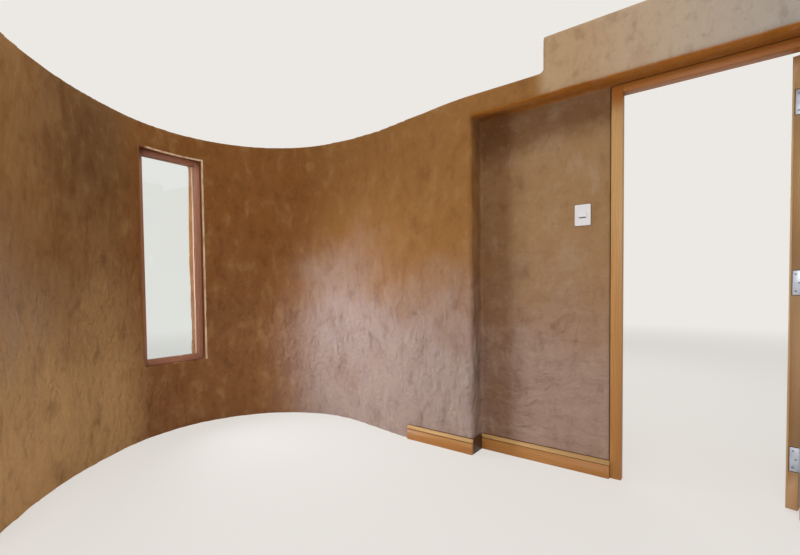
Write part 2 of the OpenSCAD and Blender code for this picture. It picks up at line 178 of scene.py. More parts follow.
class Graph:
    """A node tree, and the one method that adds nodes to it."""

    def __init__(self, tree: bpy.types.NodeTree) -> None:
        """Empties the tree.

        Args:
            tree: The tree of a material or of the world.
        """
        self.tree = tree
        self.tree.nodes.clear()

    def node(
        self,
        kind: str,
        settings: Mapping[str, Any] | None = None,
        inputs: Mapping[Any, Any] | None = None,
        output: int | str = 0,
    ) -> Term:
        """Adds a node.

        Args:
            kind: The node's type.
            settings: Its settings, set first.
            inputs: Values or terms for its sockets, by name or number.
            output: The socket to return.

        Returns:
            The node's output as a term. A node without outputs gives its input.
        """
        made = self.tree.nodes.new(kind)
        for name, value in (settings or {}).items():
            setattr(made, name, value)
        for key, value in (inputs or {}).items():
            self.feed(made.inputs[key], value)
        return Term(self, made.outputs[output] if made.outputs else made.inputs[0])

    def feed(self, socket: bpy.types.NodeSocket, value: Any) -> None:
        """Links a term to a socket, or sets the socket's value."""
        if isinstance(value, Term):
            self.tree.links.new(value.socket, socket)
        else:
            socket.default_value = value

    def seen(self) -> Term:
        """1 where a ray comes from the camera, or from metal or through glass."""
        kinds = ("Camera", "Glossy", "Transmission")
        rays = (self.node("ShaderNodeLightPath", output=f"Is {kind} Ray") for kind in kinds)
        camera, glossy, through = rays
        return (camera + glossy + through).clip()


class Sheet(Graph):
    """One material on a Principled shader."""

    def __init__(self, name: str) -> None:
        """Starts the material.

        Args:
            name: The finish in a maker's words.
        """
        self.material = bpy.data.materials.new(name)
        self.material.use_nodes = True
        super().__init__(self.material.node_tree)
        self.shader = self.node("ShaderNodeBsdfPrincipled")
        self.output = self.node("ShaderNodeOutputMaterial", {}, {"Surface": self.shader}).socket

    def surface(self, **sockets: Any) -> None:
        """Sets sockets of the Principled shader, named with _ for each space."""
        for name, value in sockets.items():
            self.feed(self.shader.socket.node.inputs[name.replace("_", " ")], value)

    def place(self) -> Term:
        """Object coordinates, in metres."""
        return self.node("ShaderNodeTexCoord", output="Object")

    def attribute(self, name: str, output: str = "Vector") -> Term:
        """An attribute of the piece."""
        return self.node("ShaderNodeAttribute", {"attribute_name": name}, output=output)

    def parts(self, vector: Term) -> tuple[Term, Term, Term]:
        """The three numbers of a vector."""
        first = self.node("ShaderNodeSeparateXYZ", {}, {0: vector})
        return tuple(Term(self, socket) for socket in first.socket.node.outputs)

    def stretched(self, vector: Term, scale: Point, shift: Point = (0.0, 0.0, 0.0)) -> Term:
        """A vector scaled axis by axis and moved."""
        inputs = {"Vector": vector, "Location": shift, "Scale": scale}
        return self.node("ShaderNodeMapping", {}, inputs)

    def clouds(
        self,
        vector: Term,
        scale: float = 1.0,
        detail: float = 3.0,
        rough: float = 0.5,
        warp: float = 0.0,
    ) -> Term:
        """Noise from 0 to 1.

        Args:
            vector: Where it is read.
            scale: Its waves to a metre.
            detail: How many finer waves lie on them.
            rough: How strong the finer waves are.
            warp: How much the noise is twisted.

        Returns:
            The noise.
        """
        inputs = {"Vector": vector, "Scale": scale, "Detail": detail, "Roughness": rough}
        return self.node("ShaderNodeTexNoise", {}, {**inputs, "Distortion": warp})

    def bent(self, vector: Term, scale: float, reach: float) -> Term:
        """A vector pushed about by noise, so that what reads it wanders."""
        inputs = {"Vector": vector, "Scale": scale, "Detail": 3.0}
        push = self.node("ShaderNodeTexNoise", {}, inputs, output="Color")
        settings = {"operation": "MULTIPLY_ADD"}
        return self.node("ShaderNodeVectorMath", settings, {0: push, 1: (reach,) * 3, 2: vector})

    def cells(self, vector: Term, scale: float, feature: str = "F1") -> Term:
        """The distance to the nearest cell's middle, or to its edge."""
        inputs = {"Vector": vector, "Scale": scale}
        return self.node("ShaderNodeTexVoronoi", {"feature": feature}, inputs, output="Distance")

    def blend(self, share: Any, first: Any, second: Any) -> Term:
        """Mixes two colours."""
        settings = {"data_type": "RGBA", "clamp_factor": True}
        return self.node("ShaderNodeMix", settings, {0: share, 6: first, 7: second}, output=2)

    def layered(self, tone: Any, *layers: tuple[Any, Any]) -> Any:
        """Lays colours over a tone, each by its own share.

        Args:
            tone: The tone underneath.
            layers: Pairs of a share and a colour, the lowest first.

        Returns:
            The tone with every colour laid over it.
        """
        for share, colour in layers:
            tone = self.blend(share, tone, colour)
        return tone

    def bump(self, height: Term) -> Term:
        """A normal from a height in metres."""
        return self.node("ShaderNodeBump", {}, {"Height": height, "Strength": 1.0, "Distance": 1.0})


# ---- Finishes ----


class Finish:
    """A finish that paints one material of its own."""

    name: str

    def paint(self, sheet: Sheet, place: Term) -> None:
        """Paints the material.

        Args:
            sheet: The empty material.
            place: Object coordinates.
        """
        raise NotImplementedError

    def make(self) -> bpy.types.Material:
        """Builds the material.

        Returns:
            The painted material.
        """
        sheet = Sheet(self.name)
        self.paint(sheet, sheet.place())
        return sheet.material


@dataclass(frozen=True)
class MudPlaster(Finish):
    """Mud plaster laid by hand and trowel: ochre above, paler and greyer below as painted daylight.

    It reads three attributes of the skin: crest, how much of a crest or a hollow a point is, room,
    how far it faces the room, and down, how far it faces the floor. The ramps say where along x, y
    or z a tone starts and where it is full. A joint is darkest over joint_core of its reach.
    """

    name: str = "mud_plaster"
    ochre: Colour = rgb(154, 107, 56)
    umber: Colour = rgb(136, 87, 38)
    # Painted daylight on the foot of the walls.
    daylit_rose: Colour = rgb(172, 151, 143)
    sand: Colour = rgb(190, 152, 102)
    # Painted light at the foot of the left wall.
    lit_foot_tan: Colour = rgb(216, 176, 124)
    clay: Colour = rgb(166, 134, 98)
    # The next three colours are painted daylight on the beam's face; the first is also the pale of
    # the mottles where daylight is painted in.
    dust: Colour = rgb(194, 172, 148)
    beam_daylight: Colour = rgb(190, 158, 122)
    beam_daylight_grey: Colour = rgb(176, 169, 163)
    shade: Colour = rgb(94, 56, 26)
    dusk: Colour = rgb(84, 48, 16)
    # Painted shade on the beam's underside.
    soffit_shade: Colour = rgb(182, 114, 36)
    # Painted shadow of the pier on the recess.
    pier_shadow_brown: Colour = rgb(110, 68, 34)
    # The painted shade in the joints.
    gap: Colour = rgb(48, 30, 16)
    recess: tuple[Ramp, Ramp, Ramp] = ((-0.40, -0.36), (-0.16, -0.08), (2.13, 2.08))
    left_x: Ramp = (-0.9, -1.2)
    left_y: Ramp = (-1.18, -1.55)
    left_lit_foot: Ramp = (1.5, 0.3)
    lit_foot_tan_z: Ramp = (1.2, 0.1)
    dim_y: Ramp = (-2.05, -1.62)
    dim_z: Ramp = (1.3, 1.9)
    low_z: Ramp = (1.46, 0.55)
    middle_x: Ramp = (-1.0, -1.5)
    bay_x: Ramp = (-1.50, -2.05)
    beam_z: Ramp = (2.085, 2.100)
    beam_x: Ramp = (0.0, 0.09)
    beam_daylight_x: Ramp = (0.15, 0.75)
    beam_daylight_grey_x: Ramp = (0.5, 1.3)
    soffit_z: Ramp = (1.98, 2.04)
    soffit_x: Ramp = (-0.42, -0.38)
    shadow_x: Ramp = (-0.13, -0.22)
    under_z: Ramp = (1.78, 1.96)
    joint_core: float = 0.35
    joint_deep: float = 0.002

    def relief(self, sheet: Sheet, place: Term, in_recess: Term, low: Term) -> Term:
        """The small unevenness that the mesh doesn't carry, as a height in metres.

        Args:
            sheet: The material.
            place: Object coordinates.
            in_recess: How far a point lies in the recess, where the trowel ran level.
            low: How far a point lies on the rougher foot of the walls.

        Returns:
            The height.
        """
        upright = sheet.clouds(sheet.stretched(place, (20, 20, 9)), warp=0.3)
        level = sheet.clouds(sheet.stretched(sheet.bent(place, 3.0, 0.2), (8, 8, 20)), warp=0.3)
        lumps = sheet.clouds(place, 26, warp=0.2)
        grit = sheet.clouds(place, 190, rough=0.6)
        strokes = in_recess * level + (1 - in_recess) * upright
        coarse = strokes * (0.009 + 0.015 * low) + lumps * (0.005 + 0.010 * low)
        return coarse * (1 - 0.20 * in_recess) + grit * 0.0014

    def marks(self, sheet: Sheet, place: Term, in_recess: Term, z: Term) -> Term:
        """A few level trowel edges low in the recess, and small pits, from 0 to 1, darkened with
        painted shade.
        """
        flat = sheet.stretched(sheet.bent(place, 7.0, 0.04), (1.7, 1.7, 9.0))
        edge = sheet.cells(flat, 1.0, "DISTANCE_TO_EDGE").step(0.020, 0.004)
        here = sheet.clouds(place, 6.5, detail=2).step(0.56, 0.66) * z.step(1.15, 0.85)
        pitted = sheet.clouds(place, 3.1, detail=2).step(0.54, 0.62)
        pit = sheet.cells(place, 6.5).step(0.040, 0.022) * pitted
        return (edge * here * in_recess + pit * 0.8).clip()

    def beside(self, coordinates: Sequence[Term], box: Box, reach: float) -> Term:
        """How close the plaster lies to a box that it was worked up to, from 0 to 1.

        Args:
            coordinates: The place's x, y and z.
            box: The lowest and highest corners.
            reach: How far the dark joint reaches.

        Returns:
            The joint's depth.
        """
        away: Any = -1.0
        for coordinate, lowest, highest in zip(coordinates, *box):
            away = (abs(coordinate - (lowest + highest) / 2) - (highest - lowest) / 2).most(away)
        return away.step(reach, reach * self.joint_core)

    def joints(self, coordinates: Sequence[Term]) -> Term:
        """The drying mud's open joints along the timber and the switch, from 0 to 1, painted dark as
        shade.
        """
        found: Any = 0.0
        for nodes, reach in (
            (("door_left_post", "door_right_post", "door_head"), 0.007),
            (("window_right_jamb", "window_left_jamb", "window_head", "window_sill"), 0.003),
            *(((node,), 0.005) for node in SKIRTINGS),
            (("switch_plate",), 0.0022),
        ):
            box = spanned([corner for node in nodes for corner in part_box(node)])
            found = self.beside(coordinates, box, reach).most(found)
        return found

    def paint(self, sheet: Sheet, place: Term) -> None:
        """Paints the material."""
        x, y, z = sheet.parts(place)
        crest, front = sheet.attribute("crest", "Fac"), sheet.attribute("room", "Fac")
        patch = sheet.clouds(place, 3.6, detail=5, rough=0.6, warp=0.3)
        hand = sheet.clouds(sheet.stretched(place, (9, 9, 3.4)), detail=5, rough=0.6, warp=1.1)
        smear = sheet.clouds(sheet.stretched(place, (11, 11, 7)), detail=4, rough=0.55, warp=0.2)
        fine = sheet.clouds(place, 34, detail=5, rough=0.65)
        drift, waver = sheet.clouds(place, 1.1, rough=0.55) - 0.5, patch - 0.5
        across, into, up = (axis.step(*ramp) for axis, ramp in zip((x, y, z), self.recess))
        in_recess = across * into * up * front
        left_end = y.step(*self.left_y) * x.step(*self.left_x)
        uneven = drift * 0.9 + waver * 0.5 - x.step(*self.middle_x) * 0.22
        # Where daylight is painted in: the foot of the walls facing the room, paler and greyer. The
        # relief is rougher there too.
        low = (z + uneven).step(*self.low_z) * (0.15 + 0.85 * front)
        # Painted shade over the bay beside the window, which the daylight misses.
        shaded_bay = (x + low * 0.20 + waver * 0.20).step(*self.bay_x)
        over_door = z.step(*self.beam_z) * (x + waver * 0.08).step(*self.beam_x) * front
        # Painted shade on the beam's underside, warmed as by light from the floor.
        soffit = sheet.attribute("down", "Fac") * z.step(*self.soffit_z) * x.step(*self.soffit_x)
        # Painted shadow of the pier on the recess, and painted shade under the beam.
        shadow = in_recess * (x + waver * 0.08).step(*self.shadow_x)
        under = in_recess * (z - x * 0.1 + waver * 0.12).step(*self.under_z)
        dim = left_end * (y + waver * 0.4).step(*self.dim_y) * (0.35 + 0.65 * z.step(*self.dim_z))
        # Painted light on the left wall, paler toward its foot.
        foot = (z + drift).step(*self.left_lit_foot)
        marks = self.marks(sheet, place, in_recess, z)
        joints = self.joints((x, y, z))

        # The pale mottles take a greyer colour where daylight is painted in, and a sandier one
        # elsewhere.
        daylit = (low * (1 - shaded_bay) + in_recess + over_door).clip() * (1 - left_end)
        pale = sheet.blend(daylit, self.sand, self.dust)
        tone = sheet.layered(
            sheet.blend(low * (1 - 0.30 * in_recess), self.ochre, self.daylit_rose),
            (in_recess * (1 - low) * 0.75, self.clay),
            (shaded_bay * 0.92, self.umber),
            (left_end * (0.20 + 0.40 * hand.step(0.3, 0.75) + 0.38 * foot), self.sand),
            (left_end * (z + drift).step(*self.lit_foot_tan_z), self.lit_foot_tan),
            (dim * 0.58, self.dusk),
            # Painted daylight on the beam's face, paler and greyer toward the right.
            (over_door, self.beam_daylight),
            (over_door * x.step(*self.beam_daylight_x), self.dust),
            (over_door * x.step(*self.beam_daylight_grey_x), self.beam_daylight_grey),
            (soffit, self.soffit_shade),
            (shadow * 0.56, self.pier_shadow_brown),
            (under * 0.60, self.shade),
            (shadow * under * 0.34, self.dusk),
            (patch.step(0.5, 0.8) * 0.32, self.umber),
            (hand.step(0.54, 0.8) * 0.26, self.umber),
            (patch.step(0.45, 0.2) * 0.20, pale),
            (smear.step(0.52, 0.74) * (0.30 + 0.12 * shaded_bay), self.shade),
            (smear.step(0.48, 0.26) * (0.24 + 0.06 * shaded_bay) * (1 - 0.7 * under), pale),
            # Painted highlight on the crests and painted shade in the hollows, stronger where
            # daylight is painted in.
            (crest.step(0.1, 1.0) * (0.05 + 0.08 * low), pale),
            (crest.step(-0.1, -1.0) * (0.10 + 0.10 * low), self.shade),
            (fine.step(0.54, 0.8) * 0.22, pale),
            (fine.step(0.46, 0.2) * 0.28, self.shade),
            # Painted shade in the trowel edges and pits.
            (marks * 0.16, self.shade),
            # Painted shade in the joints along the timber and the switch, which are also dented.
            (joints * 0.75, self.gap),
        )
        sheet.surface(
            Base_Color=tone,
            Roughness=0.80 + 0.16 * fine,
            Specular_IOR_Level=0.25,
            Normal=sheet.bump(self.relief(sheet, place, in_recess, low) - joints * self.joint_deep),
        )


@dataclass(frozen=True)
class WornLitEdge(Finish):
    """Plaster rubbed pale along an arris, with a painted highlight, less so on the side away from the
    light.
    """

    name: str = "worn_lit_edge"
    pale: Colour = rgb(236, 206, 172)
    brown: Colour = rgb(146, 100, 60)
    dark_side: float = -1.20
    turn: float = 0.03

    def paint(self, sheet: Sheet, place: Term) -> None:
        """Paints the material."""
        wear = sheet.clouds(sheet.stretched(place, (30, 30, 12)), detail=4, rough=0.6)
        lit = sheet.parts(place)[1].step(self.dark_side - self.turn, self.dark_side)
        share = lit * (0.45 + 0.55 * wear.step(0.30, 0.55))
        height = sheet.clouds(place, 60, detail=4, rough=0.6) * 0.0016
        sheet.surface(
            Base_Color=sheet.blend(share, self.brown, self.pale),
            Roughness=0.8 + 0.15 * wear,
            Specular_IOR_Level=0.25,
            Normal=sheet.bump(height),
        )


@dataclass(frozen=True)
class Timber(Finish):
    """Planed softwood. It reads the grain attribute: along the board, across it and into it.

    The rings lie one ring's width apart, in metres, round a heart beside and below the board. From a
    set height up the timber is painted paler as a highlight on the skirtings' splay. It is also
    painted paler upward as painted light, darker toward the foot, and darker at the door head as
    painted shade.
    """

    name: str = "pine"
    early: Colour = rgb(196, 146, 82)
    late: Colour = rgb(160, 103, 46)
    stain_and_shade: Colour = rgb(164, 96, 20)
    straw_and_highlight: Colour = rgb(220, 184, 124)
    ring: float = 0.0062
    gloss: float = 0.42
    highlight_z: float = 9.0
    heart: tuple[float, float] = (0.03, 0.08)
    pale_z: Ramp = (0.9, 1.9)
    foot_z: Ramp = (0.9, 0.1)
    head_z: Ramp = (1.94, 2.05)

    def paint(self, sheet: Sheet, place: Term) -> None:
        """Paints the material."""
        grain = sheet.attribute("grain")
        _, across, into = sheet.parts(grain)
        bend = sheet.clouds(sheet.stretched(grain, (0.55, 4, 4))) - 0.5
        sway = sheet.clouds(sheet.stretched(grain, (1.3, 8, 8), (3.1, 0, 0)), detail=2) - 0.5
        side = across + bend * 0.05 + self.heart[0]
        deep = into + sway * 0.04 + self.heart[1]
        radius = (side * side + deep * deep).root()
        ring = (radius * (2 * math.pi / self.ring)).sine() * 0.5 + 0.5
        fibre = sheet.clouds(sheet.stretched(grain, (9, 420, 420)), rough=0.65)
        flush = sheet.clouds(sheet.stretched(grain, (1.6, 14, 14)), rough=0.55)
        height = sheet.parts(place)[2]
        tone = sheet.layered(
            self.early,
            ((ring ** 2.2) * 0.38, self.late),
            (flush.step(0.35, 0.7) * 0.30, self.stain_and_shade),
            (flush.step(0.50, 0.25) * 0.35, self.straw_and_highlight),
            # Painted light: paler upward, a painted highlight on the skirtings' splay, darker toward
            # the foot, and painted shade at the door head.
            (height.step(*self.pale_z) * 0.35, self.straw_and_highlight),
            (height.step(*self.foot_z) * 0.50, self.stain_and_shade),
            (height.step(*self.head_z) * 0.90, self.stain_and_shade),
            (height.step(self.highlight_z - 0.001, self.highlight_z) * 0.6, self.straw_and_highlight),
            (fibre.step(0.5, 0.8) * 0.22, self.late),
        )
        sheet.surface(
            Base_Color=tone,
            Roughness=self.gloss + 0.18 * fibre,
            Specular_IOR_Level=0.45,
            Coat_Weight=0.12,
            Coat_Roughness=0.35,
            Normal=sheet.bump(fibre * 0.0004 + ring * 0.00022),
        )


@dataclass(frozen=True)
class Zinc(Finish):
    """Zinc-plated steel, a little blue, dulled by handling."""

    name: str = "steel"
    bright: Colour = rgb(196, 202, 214)
    dull: Colour = rgb(150, 156, 170)
    rough: float = 0.34

    def paint(self, sheet: Sheet, place: Term) -> None:
        """Paints the material."""
        cloud = sheet.clouds(place, 26)
        brushed = sheet.clouds(sheet.stretched(place, (900, 900, 30)), detail=2)
        sheet.surface(
            Base_Color=sheet.blend(cloud.step(0.35, 0.75) * 0.5, self.bright, self.dull),
            Metallic=1.0,
            Roughness=self.rough + 0.10 * cloud + 0.06 * brushed,
            Normal=sheet.bump(brushed * 0.00008),
        )


@dataclass(frozen=True)
class Plastic(Finish):
    """Moulded switch plastic, with a faint film of dust."""

    name: str = "switch_plastic"
    body: Colour = rgb(236, 235, 238)
    film: Colour = rgb(220, 214, 206)

    def paint(self, sheet: Sheet, place: Term) -> None:
        """Paints the material."""
        fine = sheet.clouds(place, 1400, detail=2)
        dust = sheet.clouds(place, 30)
        sheet.surface(
            Base_Color=sheet.blend(dust.step(0.4, 0.8) * 0.25, self.body, self.film),
            Roughness=0.30 + 0.10 * dust,
            Normal=sheet.bump(fine * 0.00003),
        )


@dataclass(frozen=True)
class Pane(Finish):
    """Clear window glass, faintly dusty."""

    name: str = "pane"
    tint: Colour = rgb(244, 250, 250)
    index: float = 1.45

    def paint(self, sheet: Sheet, place: Term) -> None:
        """Paints the material."""
        dust = sheet.clouds(place, 9, detail=4, rough=0.6)
        sheet.surface(
            Base_Color=self.tint,
            Roughness=0.02 + 0.05 * dust.step(0.5, 0.8),
            IOR=self.index,
            Transmission_Weight=1.0,
            Normal=sheet.bump(sheet.clouds(place, 2.2, detail=2) * 0.0006),
        )


# ---- Helpers ----


def low(node: str) -> Vector:
    """The lowest corner of a CAD node's box."""
    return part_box(node)[0]


def high(node: str) -> Vector:
    """The highest corner of a CAD node's box."""
    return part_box(node)[1]


def spanned(points: Sequence[Vector]) -> Box:
    """The lowest and highest corners of the box round some points."""
    return tuple(Vector(reach(p[i] for p in points) for i in range(3)) for reach in (min, max))


def middle_of(box: Box) -> Vector:
    """The middle of a box."""
    return (box[0] + box[1]) / 2


def heading(angle: float) -> Vector:
    """A level direction, from an angle in degrees."""
    return Vector((math.cos(math.radians(angle)), math.sin(math.radians(angle)), 0.0))


def clipped(value: float, lowest: float = 0.0) -> float:
    """A value held between the lowest and 1."""
    return max(lowest, min(1.0, value))


def eased(value: float, start: float, end: float) -> float:
    """Rises smoothly from 0 at start to 1 at end. The start may lie above the end."""
    share = clipped((value - start) / (end - start))
    return share * share * (3 - 2 * share)


def stretched(point: Vector, scale: Point, shift: Point = (0.0, 0.0, 0.0)) -> Vector:
    """A point scaled axis by axis and moved, to read noise at."""
    return Vector([point[i] * scale[i] + shift[i] for i in range(3)])


def finished(bm: bmesh.types.BMesh, name: str, smooth_angle: float = 35.0) -> bpy.types.Object:
    """Turns a bmesh into an object, smooth but for its sharp edges.

    Args:
        bm: The shape. It is freed.
        name: The piece's name.
        smooth_angle: Edges that turn more than this, in degrees, stay sharp.

    Returns:
        The object, linked to the scene.
    """
    for face in bm.faces:
        face.smooth = True
    most = math.radians(smooth_angle)
    for edge in bm.edges:
        edge.smooth = len(edge.link_faces) == 2 and edge.calc_face_angle(0.0) < most
    mesh = bpy.data.meshes.new(name)
    bm.to_mesh(mesh)
    bm.free()
    made = bpy.data.objects.new(name, mesh)
    bpy.context.scene.collection.objects.link(made)
    return made


def fitted(
    made: bpy.types.Object, finish: bpy.types.Material, slot: str, body: str, *nodes: str
) -> None:
    """Gives a piece its finish and its body.

    Args:
        made: The piece.
        finish: Its material.
        slot: The part's word for that material. It is not used.
        body: The body that it rides on.
        nodes: The CAD nodes that it stands for, which are hidden.
    """
    if finish.name not in made.data.materials:
        made.data.materials.append(finish)
    if nodes:
        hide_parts(*nodes)
    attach(made, body)


def boxed(lowest: Vector, highest: Vector) -> Matrix:
    """The matrix that carries a unit cube to a box."""
    return Matrix.Translation((lowest + highest) / 2) @ Matrix.Diagonal((*(highest - lowest), 1.0))


def parted(
    bm: bmesh.types.BMesh,
    faces: Sequence[bmesh.types.BMFace],
    planes: Sequence[tuple[Vector, Vector]],
) -> list[bmesh.types.BMFace]:
    """Splits faces along planes.

    Args:
        bm: The shape.
        faces: The faces to split.
        planes: Pairs of a point on the plane and its normal.

    Returns:
        The faces that take their place.
    """
    found = list(faces)
    for point, normal in planes:
        edges = {edge for face in found for edge in face.edges}
        verts = {vert for face in found for vert in face.verts}
        split = bmesh.ops.bisect_plane(
            bm, geom=[*verts, *edges, *found], dist=FACE_MERGE, plane_co=point, plane_no=normal
        )
        found = [piece for piece in split["geom"] if isinstance(piece, bmesh.types.BMFace)]
    return found


def own_mesh(node: str) -> bmesh.types.BMesh:
    """A merged copy of a CAD node's mesh, its flat faces in one piece each."""
    bm = bmesh.new()
    bm.from_mesh(frame["nodes"][node].data)
    bmesh.ops.remove_doubles(bm, verts=bm.verts, dist=MESH_MERGE)
    turn = math.radians(FLAT_TURN)
    bmesh.ops.dissolve_limit(bm, angle_limit=turn, verts=bm.verts, edges=bm.edges)
    return bm


def ease(bm: bmesh.types.BMesh, width: float, segments: int = 2, angle: float = 40.0) -> None:
    """Rounds every sharp edge.

    Args:
        bm: The shape.
        width: How far the rounding reaches from the edge.
        segments: Its facets.
        angle: Edges that turn more than this, in degrees, are rounded.
    """
    least = math.radians(angle)
    sharp = [e for e in bm.edges if len(e.link_faces) == 2 and e.calc_face_angle(0.0) > least]
    bmesh.ops.bevel(
        bm,
        geom=sharp,
        offset=width,
        offset_type="OFFSET",
        affect="EDGES",
        segments=segments,
        profile=0.5,
        material=-1,
        clamp_overlap=True,
    )
    bmesh.ops.remove_doubles(bm, verts=bm.verts, dist=EDGE_MERGE)


# ---- The plaster ----


@dataclass(frozen=True)
class SkinPiece:
    """A piece of the plaster: the walls it stands for and the upright planes that part it.

    A plane is the number of its axis, the side that is cut away (1 or -1) and its place.
    """

    name: str
    nodes: tuple[str, ...]
    planes: tuple[tuple[int, int, float], ...]


@dataclass
class PlasterSkin:
    """One hand-formed mud skin over all the walls, kept as four pieces.

    The unevenness is in metres, from the broadest to the finest: wave, swell, stroke, smear and
    dab. Beside timber it calms down, and along the top it is trued up. The wall left of the pier
    leans back, and lean_from and lean_up give where along x and z that starts and over how far it
    grows.
    """

    finish: bpy.types.Material
    voxel: float = 0.0118
    foot: float = 0.06
    ground: float = 0.001
    wave: float = 0.007
    swell: float = 0.0050
    stroke: float = 0.0052
    smear: float = 0.0030
    dab: float = 0.0020
    wave_scale: float = 1.7
    swell_scale: Point = (5.2, 5.2, 4.0)
    flat_scale: Point = (5.5, 5.5, 15.0)
    upright_scale: Point = (13.0, 13.0, 5.2)
    smear_scale: float = 0.62
    dab_scale: Point = (27.0, 27.0, 21.0)
    rough_z: Ramp = (1.75, 0.95)
    recess: tuple[Ramp, Ramp, Ramp] = ((-0.42, -0.34), (-0.17, -0.10), (2.13, 2.07))
    lean: float = 0.055
    lean_x: Ramp = (-0.40, -0.95)
    lean_from: tuple[float, float] = (-1.60, 0.40)
    lean_up: tuple[float, float] = (0.2, 2.0)
    bay_y: float = -0.6
    rubs: int = 1
    rub_past: float = 0.03
    calm: float = 0.06
    calmest: float = 0.10
    rim: float = 0.06
    truest: float = 0.25
    step_x: float = 0.06
    overhang: Ramp = (0.60, 0.95)
    front: Ramp = (-0.15, 0.15)
    room: Vector = field(default_factory=lambda: Vector((0.3, -1.8, 1.1)))
    pieces: tuple[SkinPiece, ...] = (
        SkinPiece("left_bay_plaster", ("left_end_wall", "wall_left_of_window"), ((1, 1, -1.30),)),
        SkinPiece(
            "window_plaster",
            ("wall_below_window", "wall_above_window", "wall_right_of_window"),
            ((1, -1, -1.30), (0, 1, -2.20)),
        ),
        SkinPiece(
            "corner_plaster",
            ("corner_wall",),
            ((1, -1, -1.30), (0, -1, -2.20), (0, 1, -1.36)),
        ),
        SkinPiece(
            "doorway_plaster",
            ("middle_wall", "pier", "recess_wall", "beam", "end_pier"),
            ((0, -1, -1.36),),
        ),
    )
    timber: tuple[str, ...] = (
        "window_right_jamb",
        "window_left_jamb",
        "window_head",
        "window_sill",
        "window_sill_board",
        "door_left_post",
        "door_right_post",
        "door_head",
        *SKIRTINGS,
        "switch_plate",
    )

    def __post_init__(self) -> None:
        """Notes the heights of the low and of the raised top."""
        self.tops = (high("middle_wall").z, high("beam").z)

    def solid(self, nodes: Sequence[str]) -> bpy.types.Object:
        """Joins copies of CAD nodes and carries their feet down past the floor.

        Args:
            nodes: The nodes to join.

        Returns:
            The joined solids.
        """
        bm = bmesh.new()
        for node in nodes:
            bm.from_mesh(frame["nodes"][node].data)
        bmesh.ops.remove_doubles(bm, verts=bm.verts, dist=WALL_MERGE)
        for vert in bm.verts:
            if vert.co.z < self.ground:
                vert.co.z = -self.foot
        return finished(bm, "plaster_core")

    def gap(self, point: Vector, boxes: Sequence[Box]) -> float:
        """The distance from a point to the nearest of some boxes, 1 m at most."""
        nearest = 1.0
        for lowest, highest in boxes:
            away = 0.0
            for i in range(3):
                past = max(lowest[i] - point[i], point[i] - highest[i], 0.0)
                away += past * past
            nearest = min(nearest, away)
        return math.sqrt(nearest)

    def trued(self, p: Vector) -> float:
        """How uneven the skin may be at a point, since the top of the walls was trued up."""
        top = self.tops[1] if p.x > self.step_x else self.tops[0]
        return self.truest + (1 - self.truest) * eased(top - p.z, 0.0, self.rim)

    def leaning(self, p: Vector) -> Vector:
        """How far the wall left of the pier leans back at a point, in metres."""
        if p.y < self.bay_y:
            return Vector()
        (start, run), (foot, rise) = self.lean_from, self.lean_up
        reach = eased(p.x, *self.lean_x) * clipped((p.x - start) / run)
        return Vector((0.0, self.lean * clipped((p.z - foot) / rise) * reach, 0.0))

    def laid(self, p: Vector) -> tuple[float, float]:
        """How the mud was laid at a point.

        Args:
            p: The point.

        Returns:
            How far the mud stands out, in metres, and how much of a crest it is, from -1 to 1.
        """
        in_recess = math.prod(eased(p[i], *self.recess[i]) for i in range(3))
        rough = 0.42 + 0.58 * eased(p.z + 0.35 * noise.noise(p * 1.6), *self.rough_z)
        lift = self.wave * noise.noise(p * self.wave_scale)
        lift += self.swell * rough * noise.noise(stretched(p, self.swell_scale, (0.0, 0.0, 7.0)))

        flat = stretched(p, self.flat_scale, (0.0, 0.0, 1.2 * noise.noise(p * 3)))
        bend = 0.9 * noise.noise(p * 3.1)
        upright = stretched(p, self.upright_scale, (bend, -bend, 0.0))
        run = upright.lerp(flat, in_recess)
        stroke = noise.noise(run)
        ridge = 0.42 - abs(noise.noise(run * 0.8 + Vector((9.0, 4.0, 2.0))))

        near, middles = noise.voronoi(run * self.smear_scale)
        away = run * self.smear_scale - middles[0]
        tilt = away.dot(noise.cell_vector(middles[0] * 9.0) * 2 - Vector((1.0, 1.0, 1.0)))
        seam = eased(near[1] - near[0], 0.10, 0.0)

        grade = rough * (1 - 0.45 * in_recess)
        crest = stroke * 0.9 + ridge * 0.7 + tilt * 0.5
        lift += grade * (self.stroke * (stroke + 0.55 * ridge) + self.smear * (tilt - 0.35 * seam))
        lift += self.dab * rough * noise.noise(stretched(p, self.dab_scale, (0.0, 3.0, 0.0)))
        return lift, clipped(crest - 0.5 * seam, -1.0)

    def remeshed(self) -> bmesh.types.BMesh:
        """One even mesh over all the walls."""
        core = self.solid([node for piece in self.pieces for node in piece.nodes])
        remesh = core.modifiers.new("skin", "REMESH")
        remesh.mode = "VOXEL"
        remesh.voxel_size = self.voxel
        remesh.adaptivity = 0.0
        shaped = core.evaluated_get(bpy.context.evaluated_depsgraph_get())
        bm = bmesh.new()
        bm.from_mesh(shaped.to_mesh())
        shaped.to_mesh_clear()
        bpy.data.objects.remove(core)
        return bm

